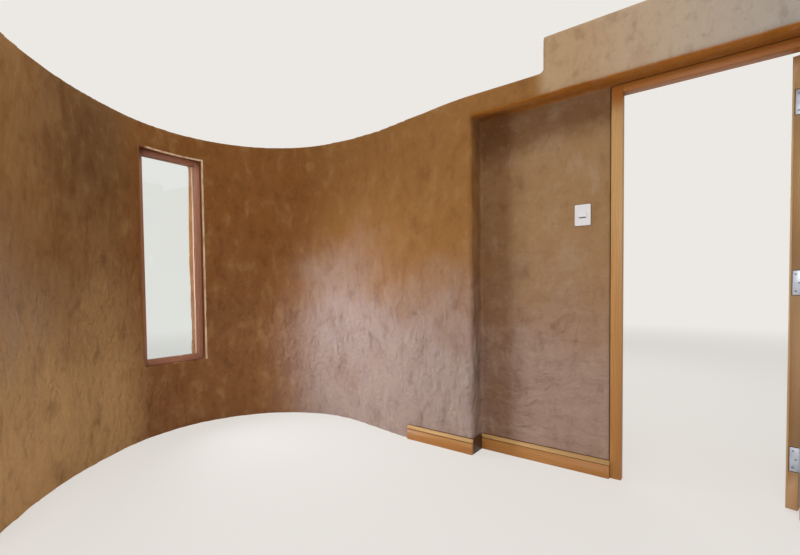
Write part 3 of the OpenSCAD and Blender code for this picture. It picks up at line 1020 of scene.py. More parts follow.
    def form(self) -> bmesh.types.BMesh:
        """Shapes the skin: its arrises rubbed round and its faces uneven.

        Returns:
            The skin of all the walls, its foot carried past the floor.
        """
        bm = self.remeshed()
        boxes = [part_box(node) for node in self.timber]
        gaps = [self.gap(vert.co, boxes) for vert in bm.verts]
        loose = [vert for vert, away in zip(bm.verts, gaps) if away > self.rub_past]
        every_way = {"use_axis_x": True, "use_axis_y": True, "use_axis_z": True}
        for _ in range(self.rubs):
            bmesh.ops.smooth_vert(bm, verts=loose, factor=0.5, **every_way)
        bm.normal_update()
        names = ("crest", "room", "down")
        crests, rooms, downs = (bm.verts.layers.float.new(name) for name in names)
        moves = []
        for vert, away in zip(bm.verts, gaps):
            share = self.calmest + (1 - self.calmest) * eased(away, 0.0, self.calm)
            share *= self.trued(vert.co)
            lift, crest = self.laid(vert.co)
            vert[crests] = crest * share
            vert[downs] = eased(-vert.normal.z, *self.overhang)
            to_room = (self.room - vert.co).normalized()
            vert[rooms] = eased(to_room.dot(vert.normal), *self.front)
            moves.append(vert.normal * (lift * share) + self.leaning(vert.co))
        for vert, move in zip(bm.verts, moves):
            vert.co += move
        return bm

    def part(self, whole: bmesh.types.BMesh, piece: SkinPiece) -> bpy.types.Object:
        """Cuts one piece from the whole skin, along the floor and its own planes, and closes it.

        Args:
            whole: The skin of all the walls.
            piece: The piece to cut.

        Returns:
            The piece.
        """
        bm = whole.copy()
        for axis, side, at in ((2, -1, 0.0), *piece.planes):
            place, normal = Vector(), Vector()
            place[axis], normal[axis] = at, side
            geometry = [*bm.verts, *bm.edges, *bm.faces]
            sides = {"plane_co": place, "plane_no": normal, "clear_outer": True}
            cut = bmesh.ops.bisect_plane(bm, geom=geometry, dist=EDGE_MERGE, **sides)
            rim = [edge for edge in cut["geom_cut"] if isinstance(edge, bmesh.types.BMEdge)]
            bmesh.ops.holes_fill(bm, edges=rim, sides=0)
        return finished(bm, piece.name, 60)

    def build(self) -> None:
        """Makes the pieces and hides the nodes that they stand for."""
        whole = self.form()
        for piece in self.pieces:
            made = self.part(whole, piece)
            fitted(made, self.finish, "mud_plaster", "wall", *piece.nodes)
            made.data.calc_loop_triangles()
            log.info("%s: %d triangles", piece.name, len(made.data.loop_triangles))
        whole.free()


@dataclass
class WindowBead:
    """The worn arris of the plaster, painted pale as a highlight, round the window's sides and head.

    The x of inner parts the wall's room side from its outer side there.
    """

    finish: bpy.types.Material
    wide: float = 0.011
    deep: float = 0.012
    proud: float = 0.0012
    inner: float = -2.45
    near: float = 0.0005

    def rail(self) -> list[Matrix]:
        """Stations along the arris. Local x points away from the opening, local y into the room."""
        foot, head = low("window_right_jamb").z, low("wall_above_window").z
        arc = {
            (round(vert.co.x, 4), round(vert.co.y, 4))
            for vert in frame["nodes"]["wall_above_window"].data.vertices
            if abs(vert.co.z - head) < self.near and vert.co.x > self.inner
        }
        points = [Vector((x, y, head)) for x, y in sorted(arc, key=lambda point: point[1])]
        stations = []
        for i, point in enumerate(points):
            run = (points[min(i + 1, len(points) - 1)] - points[max(i - 1, 0)]).normalized()
            out = Vector((run.y, -run.x, 0.0))
            aside = {0: -run, len(points) - 1: run}.get(i)
            if aside is None:
                stations.append((point, UP_AXIS, out))
                continue
            ends = [(Vector((point.x, point.y, foot)), aside, out), (point, aside + UP_AXIS, out)]
            stations += ends if i == 0 else ends[::-1]
        return [
            Matrix.Translation(point) @ Matrix((away, out, away.cross(out))).transposed().to_4x4()
            for point, away, out in stations
        ]

    def build(self) -> None:
        """Sweeps the bead's section from station to station."""
        bm = bmesh.new()
        outline = (
            (-self.proud, -self.deep),
            (-self.proud, -self.proud),
            (self.proud, self.proud),
            (self.wide - self.proud, self.proud),
            (self.wide, 0.0),
            (self.wide, -self.deep / 3),
            (self.wide / 3, -self.deep),
        )
        corners = [bm.verts.new((away, out, 0.0)) for away, out in outline]
        end = bmesh.ops.contextual_create(bm, geom=corners)["faces"][0]
        stations = self.rail()
        bmesh.ops.transform(bm, matrix=stations[0], verts=corners)
        for before, after in zip(stations, stations[1:]):
            made = bmesh.ops.extrude_face_region(bm, geom=[end])["geom"]
            moved = [piece for piece in made if isinstance(piece, bmesh.types.BMVert)]
            bmesh.ops.transform(bm, matrix=after @ before.inverted(), verts=moved)
            if end.is_valid and before is not stations[0]:
                bmesh.ops.delete(bm, geom=[end], context="FACES_ONLY")
            end = next(piece for piece in made if isinstance(piece, bmesh.types.BMFace))
        bmesh.ops.recalc_face_normals(bm, faces=bm.faces)
        bead = finished(bm, "window_arris", 25)
        fitted(bead, self.finish, "mud_plaster", "wall")
        log.info("window arris: %d stations", len(stations))


# ---- Timber ----


class Run(Enum):
    """Which way the grain of a board runs."""

    UP = "up"
    LEVEL = "level"


@dataclass
class Swing:
    """The leaf's hinge line, to work out places on the open leaf as if it were closed."""

    joint: str = "door_swing"
    pin: Vector = field(init=False)
    open_turn: float = field(init=False)

    def __post_init__(self) -> None:
        """Reads the joint from the record. Its upper limit is the closed leaf."""
        joint = next(j for j in frame["record"]["behaviour"]["joints"] if j["name"] == self.joint)
        self.pin = Vector(joint["pos_m"])
        self.open_turn = math.radians(max(joint["range_deg"]))

    def closed_box(self, node: str) -> Box:
        """The box that a node of the leaf would have with the leaf closed."""
        back = Matrix.Rotation(self.open_turn, 3, "Z")
        vertices = frame["nodes"][node].data.vertices
        return spanned([back @ (vert.co - self.pin) + self.pin for vert in vertices])

    def opened(self, matrix: Matrix) -> Matrix:
        """Carries a place on the closed leaf to the open one."""
        turn = Matrix.Rotation(-self.open_turn, 4, "Z")
        return Matrix.Translation(self.pin) @ turn @ Matrix.Translation(-self.pin) @ matrix


@dataclass
class HingePlates:
    """Where the hinge plates lie, and the pockets, chiselled a little too wide for them."""

    swing: Swing
    count: int
    plate_t: float = 0.0025
    plate_w: float = 0.032
    pin_head: float = 0.002
    gap: float = 0.0032
    past: float = 0.012
    behind: float = 0.0006

    def sides(self, part: str) -> list[str]:
        """The nodes of the hinges' sides on the leaf or on the frame."""
        return [f"hinge_{part}_side_{i}" for i in range(1, self.count + 1)]

    def faces(self) -> tuple[float, float]:
        """Where the plates' faces lie, the leaf's and then the frame's, with the leaf closed."""
        leaf = self.swing.closed_box("leaf_hinge_stile")[1].x
        return leaf, 2 * self.swing.pin.x - leaf

    def pocket(self, box: Box, face: float, into: int, margin: float) -> Matrix:
        """One pocket, with the leaf closed.

        Args:
            box: The box of the hinge's side.
            face: Where the plate's face lies.
            into: The way into the timber along x, 1 or -1.
            margin: How far the pocket reaches past the box, up and down.

        Returns:
            The matrix that carries a unit cube to the pocket.
        """
        ends = sorted((face + into * (self.plate_t + self.behind), face - into * self.past))
        lowest = Vector((ends[0], box[0].y - self.gap, box[0].z - margin))
        return boxed(lowest, Vector((ends[1], box[1].y + self.past, box[1].z + margin)))

    def frame_pockets(self) -> list[Matrix]:
        """The pockets in the right post, whose hinge sides include the pins' heads."""
        face, margin = self.faces()[1], self.gap - self.pin_head
        return [self.pocket(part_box(node), face, 1, margin) for node in self.sides("frame")]

    def leaf_pockets(self) -> list[Matrix]:
        """The pockets in the leaf's hinge stile, with the leaf open."""
        face = self.faces()[0]
        boxes = map(self.swing.closed_box, self.sides("leaf"))
        return [self.swing.opened(self.pocket(box, face, -1, self.gap)) for box in boxes]


@dataclass
class SkirtingCuts:
    """The groove and the splay above it, cut along the top of a skirting board."""

    groove_z: float = 0.0715
    groove_h: float = 0.0034
    groove_in: float = 0.0034
    splay: float = 24.0
    past: float = 0.02

    def cuts(self, node: str) -> list[Matrix]:
        """The blocks to cut away from one board that faces -y."""
        lowest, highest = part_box(node)
        length = highest.x - lowest.x + 2 * self.past
        x = (lowest.x + highest.x) / 2
        groove = Matrix.Translation((x, lowest.y, self.groove_z + self.groove_h / 2))
        groove @= Matrix.Diagonal((length, 2 * self.groove_in, self.groove_h, 1.0))
        turn = Matrix.Rotation(math.radians(-self.splay), 4, "X")
        splay = Matrix.Translation((x, lowest.y, self.groove_z + self.groove_h)) @ turn
        splay @= Matrix.Translation((0.0, -self.past, 0.0))
        splay @= Matrix.Diagonal((length, 2 * self.past, 4 * self.past, 1.0))
        return [groove, splay]


def grained(made: bpy.types.Object, turn: Matrix, middle: Vector, shift: Vector) -> None:
    """Writes the grain attribute that the timber reads.

    Args:
        made: The board.
        turn: The directions along the grain, across it and into it, one to a row.
        middle: The board's middle.
        shift: What is added, so that no two boards have the same figure.
    """
    attribute = made.data.attributes.new("grain", "FLOAT_VECTOR", "POINT")
    for vert, value in zip(made.data.vertices, attribute.data):
        value.vector = turn @ (vert.co - middle) + shift


@dataclass
class Joinery:
    """Boards that are copies of the solids, with eased edges and a grain of their own."""

    finish: bpy.types.Material
    slot: str
    body: str
    boards: Mapping[str, Run]
    turn: float = 0.0
    edge: float = 0.002
    pockets: Mapping[str, Sequence[Matrix]] = field(default_factory=dict)
    bare_shaded: bpy.types.Material | None = None

    def pocketed(self, board: bpy.types.Object, blocks: Sequence[Matrix], dressed: bool) -> None:
        """Cuts blocks out of a board, which leaves bare timber, dark as painted shade.

        Args:
            board: The board.
            blocks: The matrices that carry a unit cube to each block.
            dressed: Whether the second block leaves the board's own finish.
        """
        bm = bmesh.new()
        for number, block in enumerate(blocks):
            sides = bmesh.ops.create_cube(bm, size=1.0, matrix=block)["verts"]
            for face in {face for vert in sides for face in vert.link_faces}:
                # Dark bare timber stands in for the shade in the pockets and the skirtings' groove; a
                # skirting's splay keeps its finish.
                face.material_index = number if dressed else 0
        cutter = finished(bm, "pocket_cutter")
        cutter.data.materials.append(self.bare_shaded)
        cutter.data.materials.append(self.finish)
        cut = board.modifiers.new("pockets", "BOOLEAN")
        cut.operation = "DIFFERENCE"
        cut.solver = "EXACT"
        cut.use_self = True
        cut.material_mode = "TRANSFER"
        cut.object = cutter
        shaped = board.evaluated_get(bpy.context.evaluated_depsgraph_get())
        mesh = bpy.data.meshes.new_from_object(shaped)
        board.modifiers.clear()
        board.data = mesh
        bpy.data.objects.remove(cutter)

    def board(self, node: str, run: Run, number: int) -> None:
        """Makes one board.

        Args:
            node: The CAD node that it stands for.
            run: Which way its grain runs.
            number: Its place in the set, which moves its grain.
        """
        bm = own_mesh(node)
        ease(bm, self.edge)
        made = finished(bm, node + "_timber")
        made.data.materials.append(self.finish)
        if node in self.pockets:
            self.pocketed(made, self.pockets[node], dressed=node in SKIRTINGS)
        level, side = heading(self.turn), heading(self.turn + 90)
        along, across = (UP_AXIS, level) if run is Run.UP else (level, UP_AXIS)
        aside, inward = 0.05 * math.sin(number * 2.3), 0.02 * math.cos(number * 1.7)
        shift = Vector((number * 1.37, aside, inward))
        grained(made, Matrix((along, across, side)), middle_of(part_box(node)), shift)
        fitted(made, self.finish, self.slot, self.body, node)

    def build(self) -> None:
        """Makes all the boards."""
        for number, (node, run) in enumerate(self.boards.items()):
            self.board(node, run, number)
        log.info("%s: %d boards on %s", self.slot, len(self.boards), self.body)


@dataclass
class ReturnBoard:
    """The short dark board that carries the skirting round the pier's corner, dark partly as painted
    shade.
    """

    finish: bpy.types.Material
    edge: float = 0.001

    def build(self) -> None:
        """Makes the board between the pier's skirting and the recess's."""
        pier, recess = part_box("pier_skirting"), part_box("recess_skirting")
        lowest = Vector((high("pier").x, pier[1].y, 0.0))
        highest = Vector((pier[1].x, recess[0].y, pier[1].z - self.edge))
        bm = bmesh.new()
        bmesh.ops.create_cube(bm, size=1.0, matrix=boxed(lowest, highest))
        ease(bm, self.edge)
        made = finished(bm, "pier_return_board")
        grained(made, Matrix(((0, 1, 0), (0, 0, 1), (1, 0, 0))), Vector(), Vector())
        fitted(made, self.finish, "pine", "wall")
        log.info("return board made")


# ---- Steel, glass and plastic ----


@dataclass
class Fittings:
    """Copies of small steel solids with eased edges: hinges, plates and levers."""

    finish: bpy.types.Material
    slot: str
    body: str
    nodes: tuple[str, ...]
    edge: float = 0.0004

    def build(self) -> None:
        """Makes every fitting."""
        for node in self.nodes:
            bm = own_mesh(node)
            ease(bm, self.edge)
            fitted(finished(bm, node + "_fitting"), self.finish, self.slot, self.body, node)
        log.info("%s: %d fittings on %s", self.slot, len(self.nodes), self.body)


@dataclass
class Screws:
    """Countersunk cross-head screws or plain round nail heads, one set to a body.

    The taper, the rim and the flat round the cross are shares of the radius.
    """

    finish: bpy.types.Material
    name: str
    body: str
    slot: str = "steel"
    radius: float = 0.0042
    taper: float = 0.72
    rim: float = 0.10
    flat: float = 0.30
    turn: float = 0.83
    thick: float = 0.0014
    proud: float = 0.0003
    cross: bool = True
    slot_half: float = 0.00055
    cross_depth: float = 0.0011
    cross_draft: float = 0.00015
    segments: int = 24

    def head(self, number: int) -> bmesh.types.BMesh:
        """One head that faces up, its top just over the origin.

        Args:
            number: Its place in the set, which turns its cross.

        Returns:
            The head.
        """
        bm = bmesh.new()
        bmesh.ops.create_cone(
            bm,
            cap_ends=True,
            segments=self.segments,
            radius1=self.radius * self.taper,
            radius2=self.radius,
            depth=self.thick,
        )
        bmesh.ops.translate(bm, verts=bm.verts, vec=(0, 0, self.proud - self.thick / 2))
        top = max(bm.faces, key=lambda face: face.calc_center_median().z)
        rim, flat = self.radius * self.rim, self.radius * self.flat
        bmesh.ops.inset_region(bm, faces=[top], thickness=rim, depth=self.proud / 2)
        if self.cross:
            bmesh.ops.inset_region(bm, faces=[top], thickness=flat, depth=0.0)
            sides = [Vector(side) for side in ((1, 0, 0), (-1, 0, 0), (0, 1, 0), (0, -1, 0))]
            faces = parted(bm, [top], [(side * self.slot_half, side) for side in sides])
            middles = [(face, face.calc_center_median()) for face in faces]
            arms = [face for face, at in middles if min(abs(at.x), abs(at.y)) < self.slot_half]
            bmesh.ops.inset_region(
                bm, faces=arms, thickness=self.cross_draft, depth=-self.cross_depth
            )
        bmesh.ops.rotate(bm, verts=bm.verts, matrix=Matrix.Rotation(number * self.turn, 3, "Z"))
        return bm

    def build(self, places: Sequence[Matrix]) -> None:
        """Makes the whole set as one piece.

        Args:
            places: Where each head sits, its local z pointing out of the plate.
        """
        whole = bmesh.new()
        for number, place in enumerate(places):
            one = self.head(number)
            one.transform(place)
            spare = bpy.data.meshes.new("spare")
            one.to_mesh(spare)
            whole.from_mesh(spare)
            bpy.data.meshes.remove(spare)
            one.free()
        fitted(finished(whole, self.name, 30), self.finish, self.slot, self.body)
        log.info("%s: %d heads", self.name, len(places))


def facing(place: Vector, out: Vector) -> Matrix:
    """A place whose local z points out."""
    return Matrix.Translation(place) @ out.to_track_quat("Z", "Y").to_matrix().to_4x4()


@dataclass
class Ironmongery:
    """The screws of the hinges, the strike plate and the latch plate, and the skirtings' nails."""

    steel: bpy.types.Material
    plates: HingePlates
    zigzag: float = 0.005
    reach: float = 0.038
    latch_reach: float = 0.060
    nail_radius: float = 0.0028
    nail_in: float = 0.022
    nail_every: float = 0.3
    nail_wander: float = 0.006

    def hinge_rows(self, box: Box, face_x: float, out: Vector) -> list[Matrix]:
        """Three screws in a zigzag on one hinge plate.

        Args:
            box: The hinge side's box, with the leaf closed.
            face_x: Where the plate's face lies.
            out: The way that the plate faces.

        Returns:
            The places of the screws.
        """
        middle = (box[0].z + box[1].z) / 2
        y = box[0].y + self.plates.plate_w / 2
        rows = ((-self.reach, -self.zigzag), (0.0, self.zigzag), (self.reach, -self.zigzag))
        return [facing(Vector((face_x, y + aside, middle + up)), out) for up, aside in rows]

    def build(self) -> None:
        """Makes the screws of each body."""
        fixed, moving = [], []
        swing = self.plates.swing
        leaf_face, frame_face = self.plates.faces()
        for node in self.plates.sides("frame"):
            fixed += self.hinge_rows(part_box(node), frame_face, LEFT)
        for node in self.plates.sides("leaf"):
            moving += self.hinge_rows(swing.closed_box(node), leaf_face, RIGHT)
        strike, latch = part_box("strike_plate"), swing.closed_box("latch_plate")
        for up in (-self.latch_reach, self.latch_reach):
            middle = middle_of(strike)
            fixed.append(facing(Vector((strike[1].x, middle.y, middle.z + up)), RIGHT))
            middle = middle_of(latch)
            moving.append(facing(Vector((latch[0].x, middle.y, middle.z + up)), LEFT))
        moving = [swing.opened(place) for place in moving]
        Screws(self.steel, "frame_screws", "wall").build(fixed)
        Screws(self.steel, "leaf_screws", "door").build(moving)
        nails = Screws(
            self.steel, "skirting_nails", "wall", radius=self.nail_radius, cross=False
        )
        nails.build(self.nails())

    def nails(self) -> list[Matrix]:
        """The nails of the skirtings, near the ends of each board and between."""
        found = []
        for node in SKIRTINGS:
            lowest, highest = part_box(node)
            count = max(2, round((highest.x - lowest.x) / self.nail_every))
            first, last = lowest.x + self.nail_in, highest.x - self.nail_in
            for i in range(count):
                x = first + (last - first) * i / (count - 1)
                z = (lowest.z + highest.z) / 2 + self.nail_wander * math.sin(5.1 * i + lowest.x)
                found.append(facing(Vector((x, lowest.y, z)), Vector((0.0, -1.0, 0.0))))
        return found


@dataclass
class Switch:
    """The light switch: a rimmed plate, a carrier let into it and a rocker pressed at its top."""

    finish: bpy.types.Material
    shade: bpy.types.Material
    corner: float = 0.005
    rim: float = 0.0032
    band: float = 0.013
    sunk: float = 0.0007
    gap: float = 0.0006
    pocket: float = 0.004
    draft: float = 0.0001
    rocker_corner: float = 0.0015
    rocker_rim: float = 0.0012
    tilt: float = 3.0
    notch: Point = (0.034, 0.0052, 0.0032)
    notch_gap: float = 0.0004
    square: float = 0.99

    def slab(self, box: Box, corner: float, rim: float) -> bmesh.types.BMesh:
        """A slab that faces -y, with round corners and an eased front.

        Args:
            box: Its lowest and highest corners.
            corner: The radius of its corners.
            rim: How far its front is eased.

        Returns:
            The slab.
        """
        bm = bmesh.new()
        bmesh.ops.create_cube(bm, size=1.0, matrix=boxed(*box))
        half = (box[1] - box[0]).y / 2
        through = [edge for edge in bm.edges if abs((edge.verts[0].co - edge.verts[1].co).y) > half]
        settings = {"offset_type": "OFFSET", "affect": "EDGES", "profile": 0.5, "material": -1}
        bmesh.ops.bevel(bm, geom=through, offset=corner, segments=4, **settings)
        bmesh.ops.bevel(bm, geom=list(self.front(bm).edges), offset=rim, segments=3, **settings)
        return bm

    def fronts(self, bm: bmesh.types.BMesh) -> list[bmesh.types.BMFace]:
        """The faces that look straight at the room."""
        return [face for face in bm.faces if face.normal.y < -self.square]

    def front(self, bm: bmesh.types.BMesh) -> bmesh.types.BMFace:
        """The large face that looks at the room."""
        return max(self.fronts(bm), key=lambda face: face.calc_area())

    def opening(
        self, bm: bmesh.types.BMesh, face: bmesh.types.BMFace, middle: Vector, half: Vector
    ) -> bmesh.types.BMFace:
        """Parts a rectangle off a face that looks along -y.

        Args:
            bm: The shape.
            face: The face.
            middle: The rectangle's middle.
            half: Half its width and height, as x and z.

        Returns:
            The rectangle's face.
        """
        sides = [Vector(side) for side in ((1, 0, 0), (-1, 0, 0), (0, 0, 1), (0, 0, -1))]
        reach = Vector((half.x, 0.0, half.z))
        planes = [(middle + side * abs(side.dot(reach)), side) for side in sides]
        faces = parted(bm, [face], planes)
        return min(faces, key=lambda piece: (piece.calc_center_median() - middle).length)

    def plate(self) -> bmesh.types.BMesh:
        """The plate, its middle let in, pocketed for the rocker and notched below it."""
        outline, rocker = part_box("switch_plate"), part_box("switch_rocker")
        bm = self.slab(outline, self.corner, self.rim)
        bm.normal_update()
        half = (outline[1] - outline[0]) / 2 - Vector((self.band, 0.0, self.band))
        carrier = self.opening(bm, self.front(bm), middle_of(outline), half)
        bmesh.ops.inset_region(bm, faces=[carrier], thickness=self.sunk, depth=-self.sunk)
        half = (rocker[1] - rocker[0]) / 2 + Vector((self.gap, 0.0, self.gap))
        bed = self.opening(bm, carrier, middle_of(rocker), half)
        bmesh.ops.inset_region(bm, faces=[bed], thickness=self.draft, depth=-self.pocket)
        wide, tall, deep = self.notch
        aim = middle_of(rocker)
        aim.z = rocker[0].z - self.gap - tall / 2 - self.notch_gap
        large = [face for face in self.fronts(bm) if face.calc_area() > wide * tall]
        below = min(large, key=lambda face: (face.calc_center_median() - aim).length)
        slot = self.opening(bm, below, aim, Vector((wide / 2, 0.0, tall / 2)))
        floor = bmesh.ops.inset_region(bm, faces=[slot], thickness=self.draft, depth=-deep)["faces"]
        # The notch's walls and floor take the dark plastic, painted shade under the rocker.
        for face in (slot, *floor):
            face.material_index = 1
        return bm

    def rocker(self) -> bmesh.types.BMesh:
        """The rocker, its lower edge standing out."""
        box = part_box("switch_rocker")
        bm = self.slab(box, self.rocker_corner, self.rocker_rim)
        turn = Matrix.Rotation(math.radians(-self.tilt), 3, "X")
        bmesh.ops.rotate(bm, verts=bm.verts, cent=middle_of(box), matrix=turn)
        return bm

    def build(self) -> None:
        """Makes the plate and the rocker."""
        for node, shape in (("switch_plate", self.plate()), ("switch_rocker", self.rocker())):
            made = finished(shape, node + "_moulding", 30)
            fitted(made, self.finish, "switch_plastic", "wall", node)
            made.data.materials.append(self.shade)
        log.info("switch built")


@dataclass
class Glazing:
    """The pane, which stays as it was drawn."""

    finish: bpy.types.Material

    def build(self) -> None:
        """Dresses the pane."""
        materials = frame["nodes"]["window_glass"].data.materials
        materials.clear()
        materials.append(self.finish)
        log.info("pane dressed")


# ---- Camera, lights and floor ----


@dataclass(frozen=True)
class Viewpoint:
    """The camera, from the straight lines of the photograph.

    The angles are in degrees, and the focal length, width and shift in the photograph's pixels.
    """

    place: Point = (0.8415, -2.540, 1.05)
    yaw: float = 36.99
    pitch: float = 1.73
    roll: float = 0.59
    focal: float = 422.4
    width: float = 800.0
    shift: float = 22.5
    sensor: float = 36.0
    clip: float = 0.05

    def build(self) -> None:
        """Makes the camera and hands it to the scene."""
        yaw, pitch, roll = (math.radians(a) for a in (self.yaw, self.pitch, self.roll))
        level = math.cos(pitch)
        forward = Vector((-math.sin(yaw) * level, math.cos(yaw) * level, -math.sin(pitch)))
        right = Vector((math.cos(yaw), math.sin(yaw), 0.0))
        down = forward.cross(right)
        turned_right = math.cos(roll) * right + math.sin(roll) * down
        turned_down = math.cos(roll) * down - math.sin(roll) * right
        data = bpy.data.cameras.new("camera")
        data.sensor_width = self.sensor
        data.lens = self.focal / self.width * self.sensor
        data.shift_y = self.shift / self.width
        data.clip_start = self.clip
        camera = bpy.data.objects.new("camera", data)
        bpy.context.scene.collection.objects.link(camera)
        turn = Matrix((turned_right, -turned_down, -forward)).transposed().to_4x4()
        camera.matrix_world = Matrix.Translation(self.place) @ turn
        bpy.context.scene.camera = camera
        log.info("camera at %s", self.place)


@dataclass
class Studio:
    """Pale floor, pale surround and soft light.

    The veil is how much of the floor's shade is hidden from the camera near the part. It is full
    from far on.
    """

    pale: Colour = rgb(236, 233, 228)
    sky: Colour = (1.0, 0.985, 0.96, 1.0)
    reach: float = 30.0
    below: float = 0.001
    ambient: float = 0.27
    veil: float = 0.7
    near: float = 3.5
    far: float = 11.0

    def lamp(
        self,
        name: str,
        place: Point,
        aim: Point,
        size: tuple[float, float],
        watts: float,
        tint: Colour,
        spread: float = 180.0,
    ) -> None:
        """Adds one soft lamp.

        Args:
            name: The lamp's name.
            place: Where it hangs.
            aim: The point that it faces.
            size: Its width and height.
            watts: Its power.
            tint: Its colour.
            spread: How wide its light opens, in degrees.
        """
        data = bpy.data.lights.new(name, "AREA")
        data.spread = math.radians(spread)
        data.shape = "RECTANGLE"
        data.size, data.size_y = size
        data.energy = watts
        data.color = tint[:3]
        lamp = bpy.data.objects.new(name, data)
        bpy.context.scene.collection.objects.link(lamp)
        turn = (Vector(aim) - Vector(place)).to_track_quat("-Z", "Y").to_matrix().to_4x4()
        lamp.matrix_world = Matrix.Translation(place) @ turn
        lamp.visible_camera = False
        lamp.visible_transmission = False

    def surround(self) -> None:
        """Lights the world evenly and shows it pale to the camera, in metal and through glass."""
        world = bpy.data.worlds.new("surround")
        bpy.context.scene.world = world
        world.use_nodes = True
        graph = Graph(world.node_tree)
        inputs = {"Color": self.sky, "Strength": self.ambient}
        light = graph.node("ShaderNodeBackground", {}, inputs)
        shown = graph.node("ShaderNodeBackground", {}, {"Color": self.pale, "Strength": 1.0})
        mixed = graph.node("ShaderNodeMixShader", {}, {0: graph.seen(), 1: light, 2: shown})
        graph.node("ShaderNodeOutputWorld", {}, {"Surface": mixed})

    def floor(self) -> None:
        """Lays the floor, which keeps the wall's shadow and is shown pale."""
        bm = bmesh.new()
        bmesh.ops.create_grid(bm, x_segments=1, y_segments=1, size=self.reach)
        bmesh.ops.translate(bm, verts=bm.verts, vec=(0.0, 0.0, -self.below))
        made = finished(bm, "floor")
        sheet = Sheet("pale_floor")
        sheet.surface(Base_Color=self.pale, Roughness=0.7, Specular_IOR_Level=0.2)
        x, y, _ = sheet.parts(sheet.place())
        far = (x * x + y * y).step(self.near**2, self.far**2)
        share = sheet.seen() * (self.veil + (1 - self.veil) * far)
        shown = sheet.node("ShaderNodeEmission", {}, {"Color": self.pale, "Strength": 1.0})
        mixed = sheet.node("ShaderNodeMixShader", {}, {0: share, 1: sheet.shader, 2: shown})
        sheet.feed(sheet.output, mixed)
        made.data.materials.append(sheet.material)

    def build(self) -> None:
        """Makes the floor, the surround and the lamps."""
        self.floor()
        self.surround()
        glass = middle_of(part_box("window_glass"))
        self.lamp(
            "window_light",
            (glass.x + 0.14, glass.y, glass.z - 0.32),
            (glass.x + 2.14, glass.y + 0.80, glass.z - 0.80),
            (0.20, 0.95),
            9.5,
            rgb(246, 248, 255),
            spread=120.0,
        )
        self.lamp(
            "room_light", (0.8, -4.3, 2.2), (0.4, -0.2, 1.1), (1.8, 1.8), 55, rgb(252, 250, 250)
        )
        self.lamp(
            "sky_light", (0.2, -1.4, 5.5), (0.0, -0.6, 0.0), (4.5, 4.5), 95, rgb(255, 253, 248)
        )
        self.lamp(
            "bay_light",
            (-4.3, -2.9, 1.4),
            (-2.6, -0.9, 1.3),
            (1.4, 1.4),
            26,
            rgb(250, 252, 255),
            spread=70.0,
        )
        self.lamp(
            "back_light", (-1.5, 3.6, 3.2), (0.0, 0.0, 1.0), (3.0, 2.0), 60, rgb(255, 252, 246)
        )
        log.info("studio built")


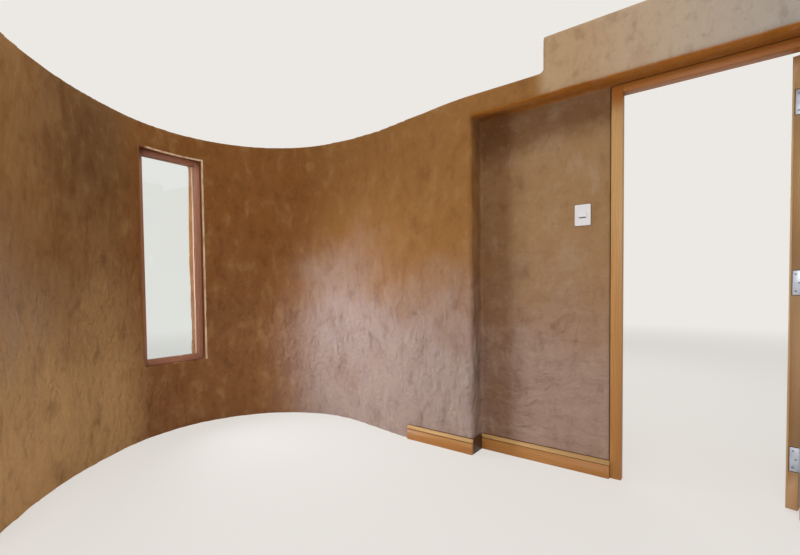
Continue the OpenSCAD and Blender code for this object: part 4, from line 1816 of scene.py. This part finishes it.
@dataclass
class Wall:
    """The whole part, sub-assembly by sub-assembly."""

    hinges: int = 3
    # Where the painted highlight on the skirtings' splay starts.
    skirting_highlight_z: float = 0.076
    levers: tuple[str, ...] = ("lever_room_side", "lever_bedroom_side")
    frame_boards: tuple[tuple[str, Run], ...] = (
        ("door_left_post", Run.UP),
        ("door_right_post", Run.UP),
        ("door_head", Run.LEVEL),
    )
    leaf_boards: tuple[tuple[str, Run], ...] = (
        ("leaf_hinge_stile", Run.UP),
        ("leaf_lock_stile", Run.UP),
        ("leaf_top_rail", Run.LEVEL),
        ("leaf_lock_rail", Run.LEVEL),
        ("leaf_bottom_rail", Run.LEVEL),
        ("leaf_upper_panel", Run.UP),
        ("leaf_lower_panel", Run.UP),
    )
    window_boards: tuple[tuple[str, Run], ...] = (
        ("window_right_jamb", Run.UP),
        ("window_left_jamb", Run.UP),
        ("window_head", Run.LEVEL),
        ("window_sill", Run.LEVEL),
        ("window_sill_board", Run.LEVEL),
    )

    def timber(self, plates: HingePlates) -> None:
        """Makes the door frame, the skirtings, the leaf and the window's frame.

        Args:
            plates: The hinge plates, which are let into the frame and the leaf.
        """
        window_pine = Timber(
            name="window_timber",
            early=rgb(184, 128, 100),
            late=rgb(140, 88, 66),
            stain_and_shade=rgb(142, 88, 66),
            straw_and_highlight=rgb(198, 146, 118),
            gloss=0.5,
        )
        # The leaf's timber is paler, partly as its own paler wood and partly as painted light on its
        # edge.
        leaf_pine = Timber(
            name="leaf_pine",
            early=rgb(206, 174, 132),
            late=rgb(178, 138, 96),
            stain_and_shade=rgb(182, 138, 90),
        )
        # Dark timber for the pockets, the skirtings' groove and the return board: bare wood, darkened
        # as painted shade.
        bare_shaded = Timber(
            name="bare_shaded_pine",
            early=rgb(96, 62, 34),
            late=rgb(66, 40, 20),
            stain_and_shade=rgb(60, 36, 18),
            straw_and_highlight=rgb(110, 74, 44),
        ).make()
        Joinery(
            Timber().make(),
            "pine",
            "wall",
            dict(self.frame_boards),
            pockets={"door_right_post": plates.frame_pockets()},
            bare_shaded=bare_shaded,
        ).build()
        Joinery(
            Timber(name="skirting_pine", highlight_z=self.skirting_highlight_z).make(),
            "pine",
            "wall",
            dict.fromkeys(SKIRTINGS, Run.LEVEL),
            pockets={node: SkirtingCuts().cuts(node) for node in SKIRTINGS},
            bare_shaded=bare_shaded,
        ).build()
        ReturnBoard(bare_shaded).build()
        Joinery(
            leaf_pine.make(),
            "pine",
            "door",
            dict(self.leaf_boards),
            turn=-math.degrees(plates.swing.open_turn),
            pockets={"leaf_hinge_stile": plates.leaf_pockets()},
            bare_shaded=bare_shaded,
        ).build()
        Joinery(
            window_pine.make(), "window_timber", "wall", dict(self.window_boards), turn=90.0
        ).build()

    def steel(self, plates: HingePlates) -> None:
        """Makes the hinges, the plates, the levers and every screw and nail.

        Args:
            plates: The hinge plates.
        """
        bright = Zinc().make()
        # Darker steel for the screws and nails.
        darker_steel = Zinc("screw_steel", rgb(112, 112, 118), rgb(70, 68, 70), 0.42).make()
        fixed = ("strike_plate", *plates.sides("frame"))
        moving = ("latch_plate", *self.levers, *plates.sides("leaf"))
        Fittings(bright, "steel", "wall", fixed).build()
        Fittings(bright, "steel", "door", moving).build()
        Ironmongery(darker_steel, plates).build()

    def build(self) -> None:
        """Builds every sub-assembly."""
        Viewpoint().build()
        PlasterSkin(MudPlaster().make()).build()
        WindowBead(WornLitEdge().make()).build()
        plates = HingePlates(Swing(), self.hinges)
        self.timber(plates)
        Glazing(Pane().make()).build()
        self.steel(plates)
        Switch(Plastic().make(), Plastic("notch_shade_plastic", rgb(96, 92, 92)).make()).build()
        Studio().build()


def main() -> None:
    """Builds the part and its studio."""
    bpy.context.scene.view_settings.view_transform = "Standard"
    Wall().build()


if __name__ == "__main__":
    main()
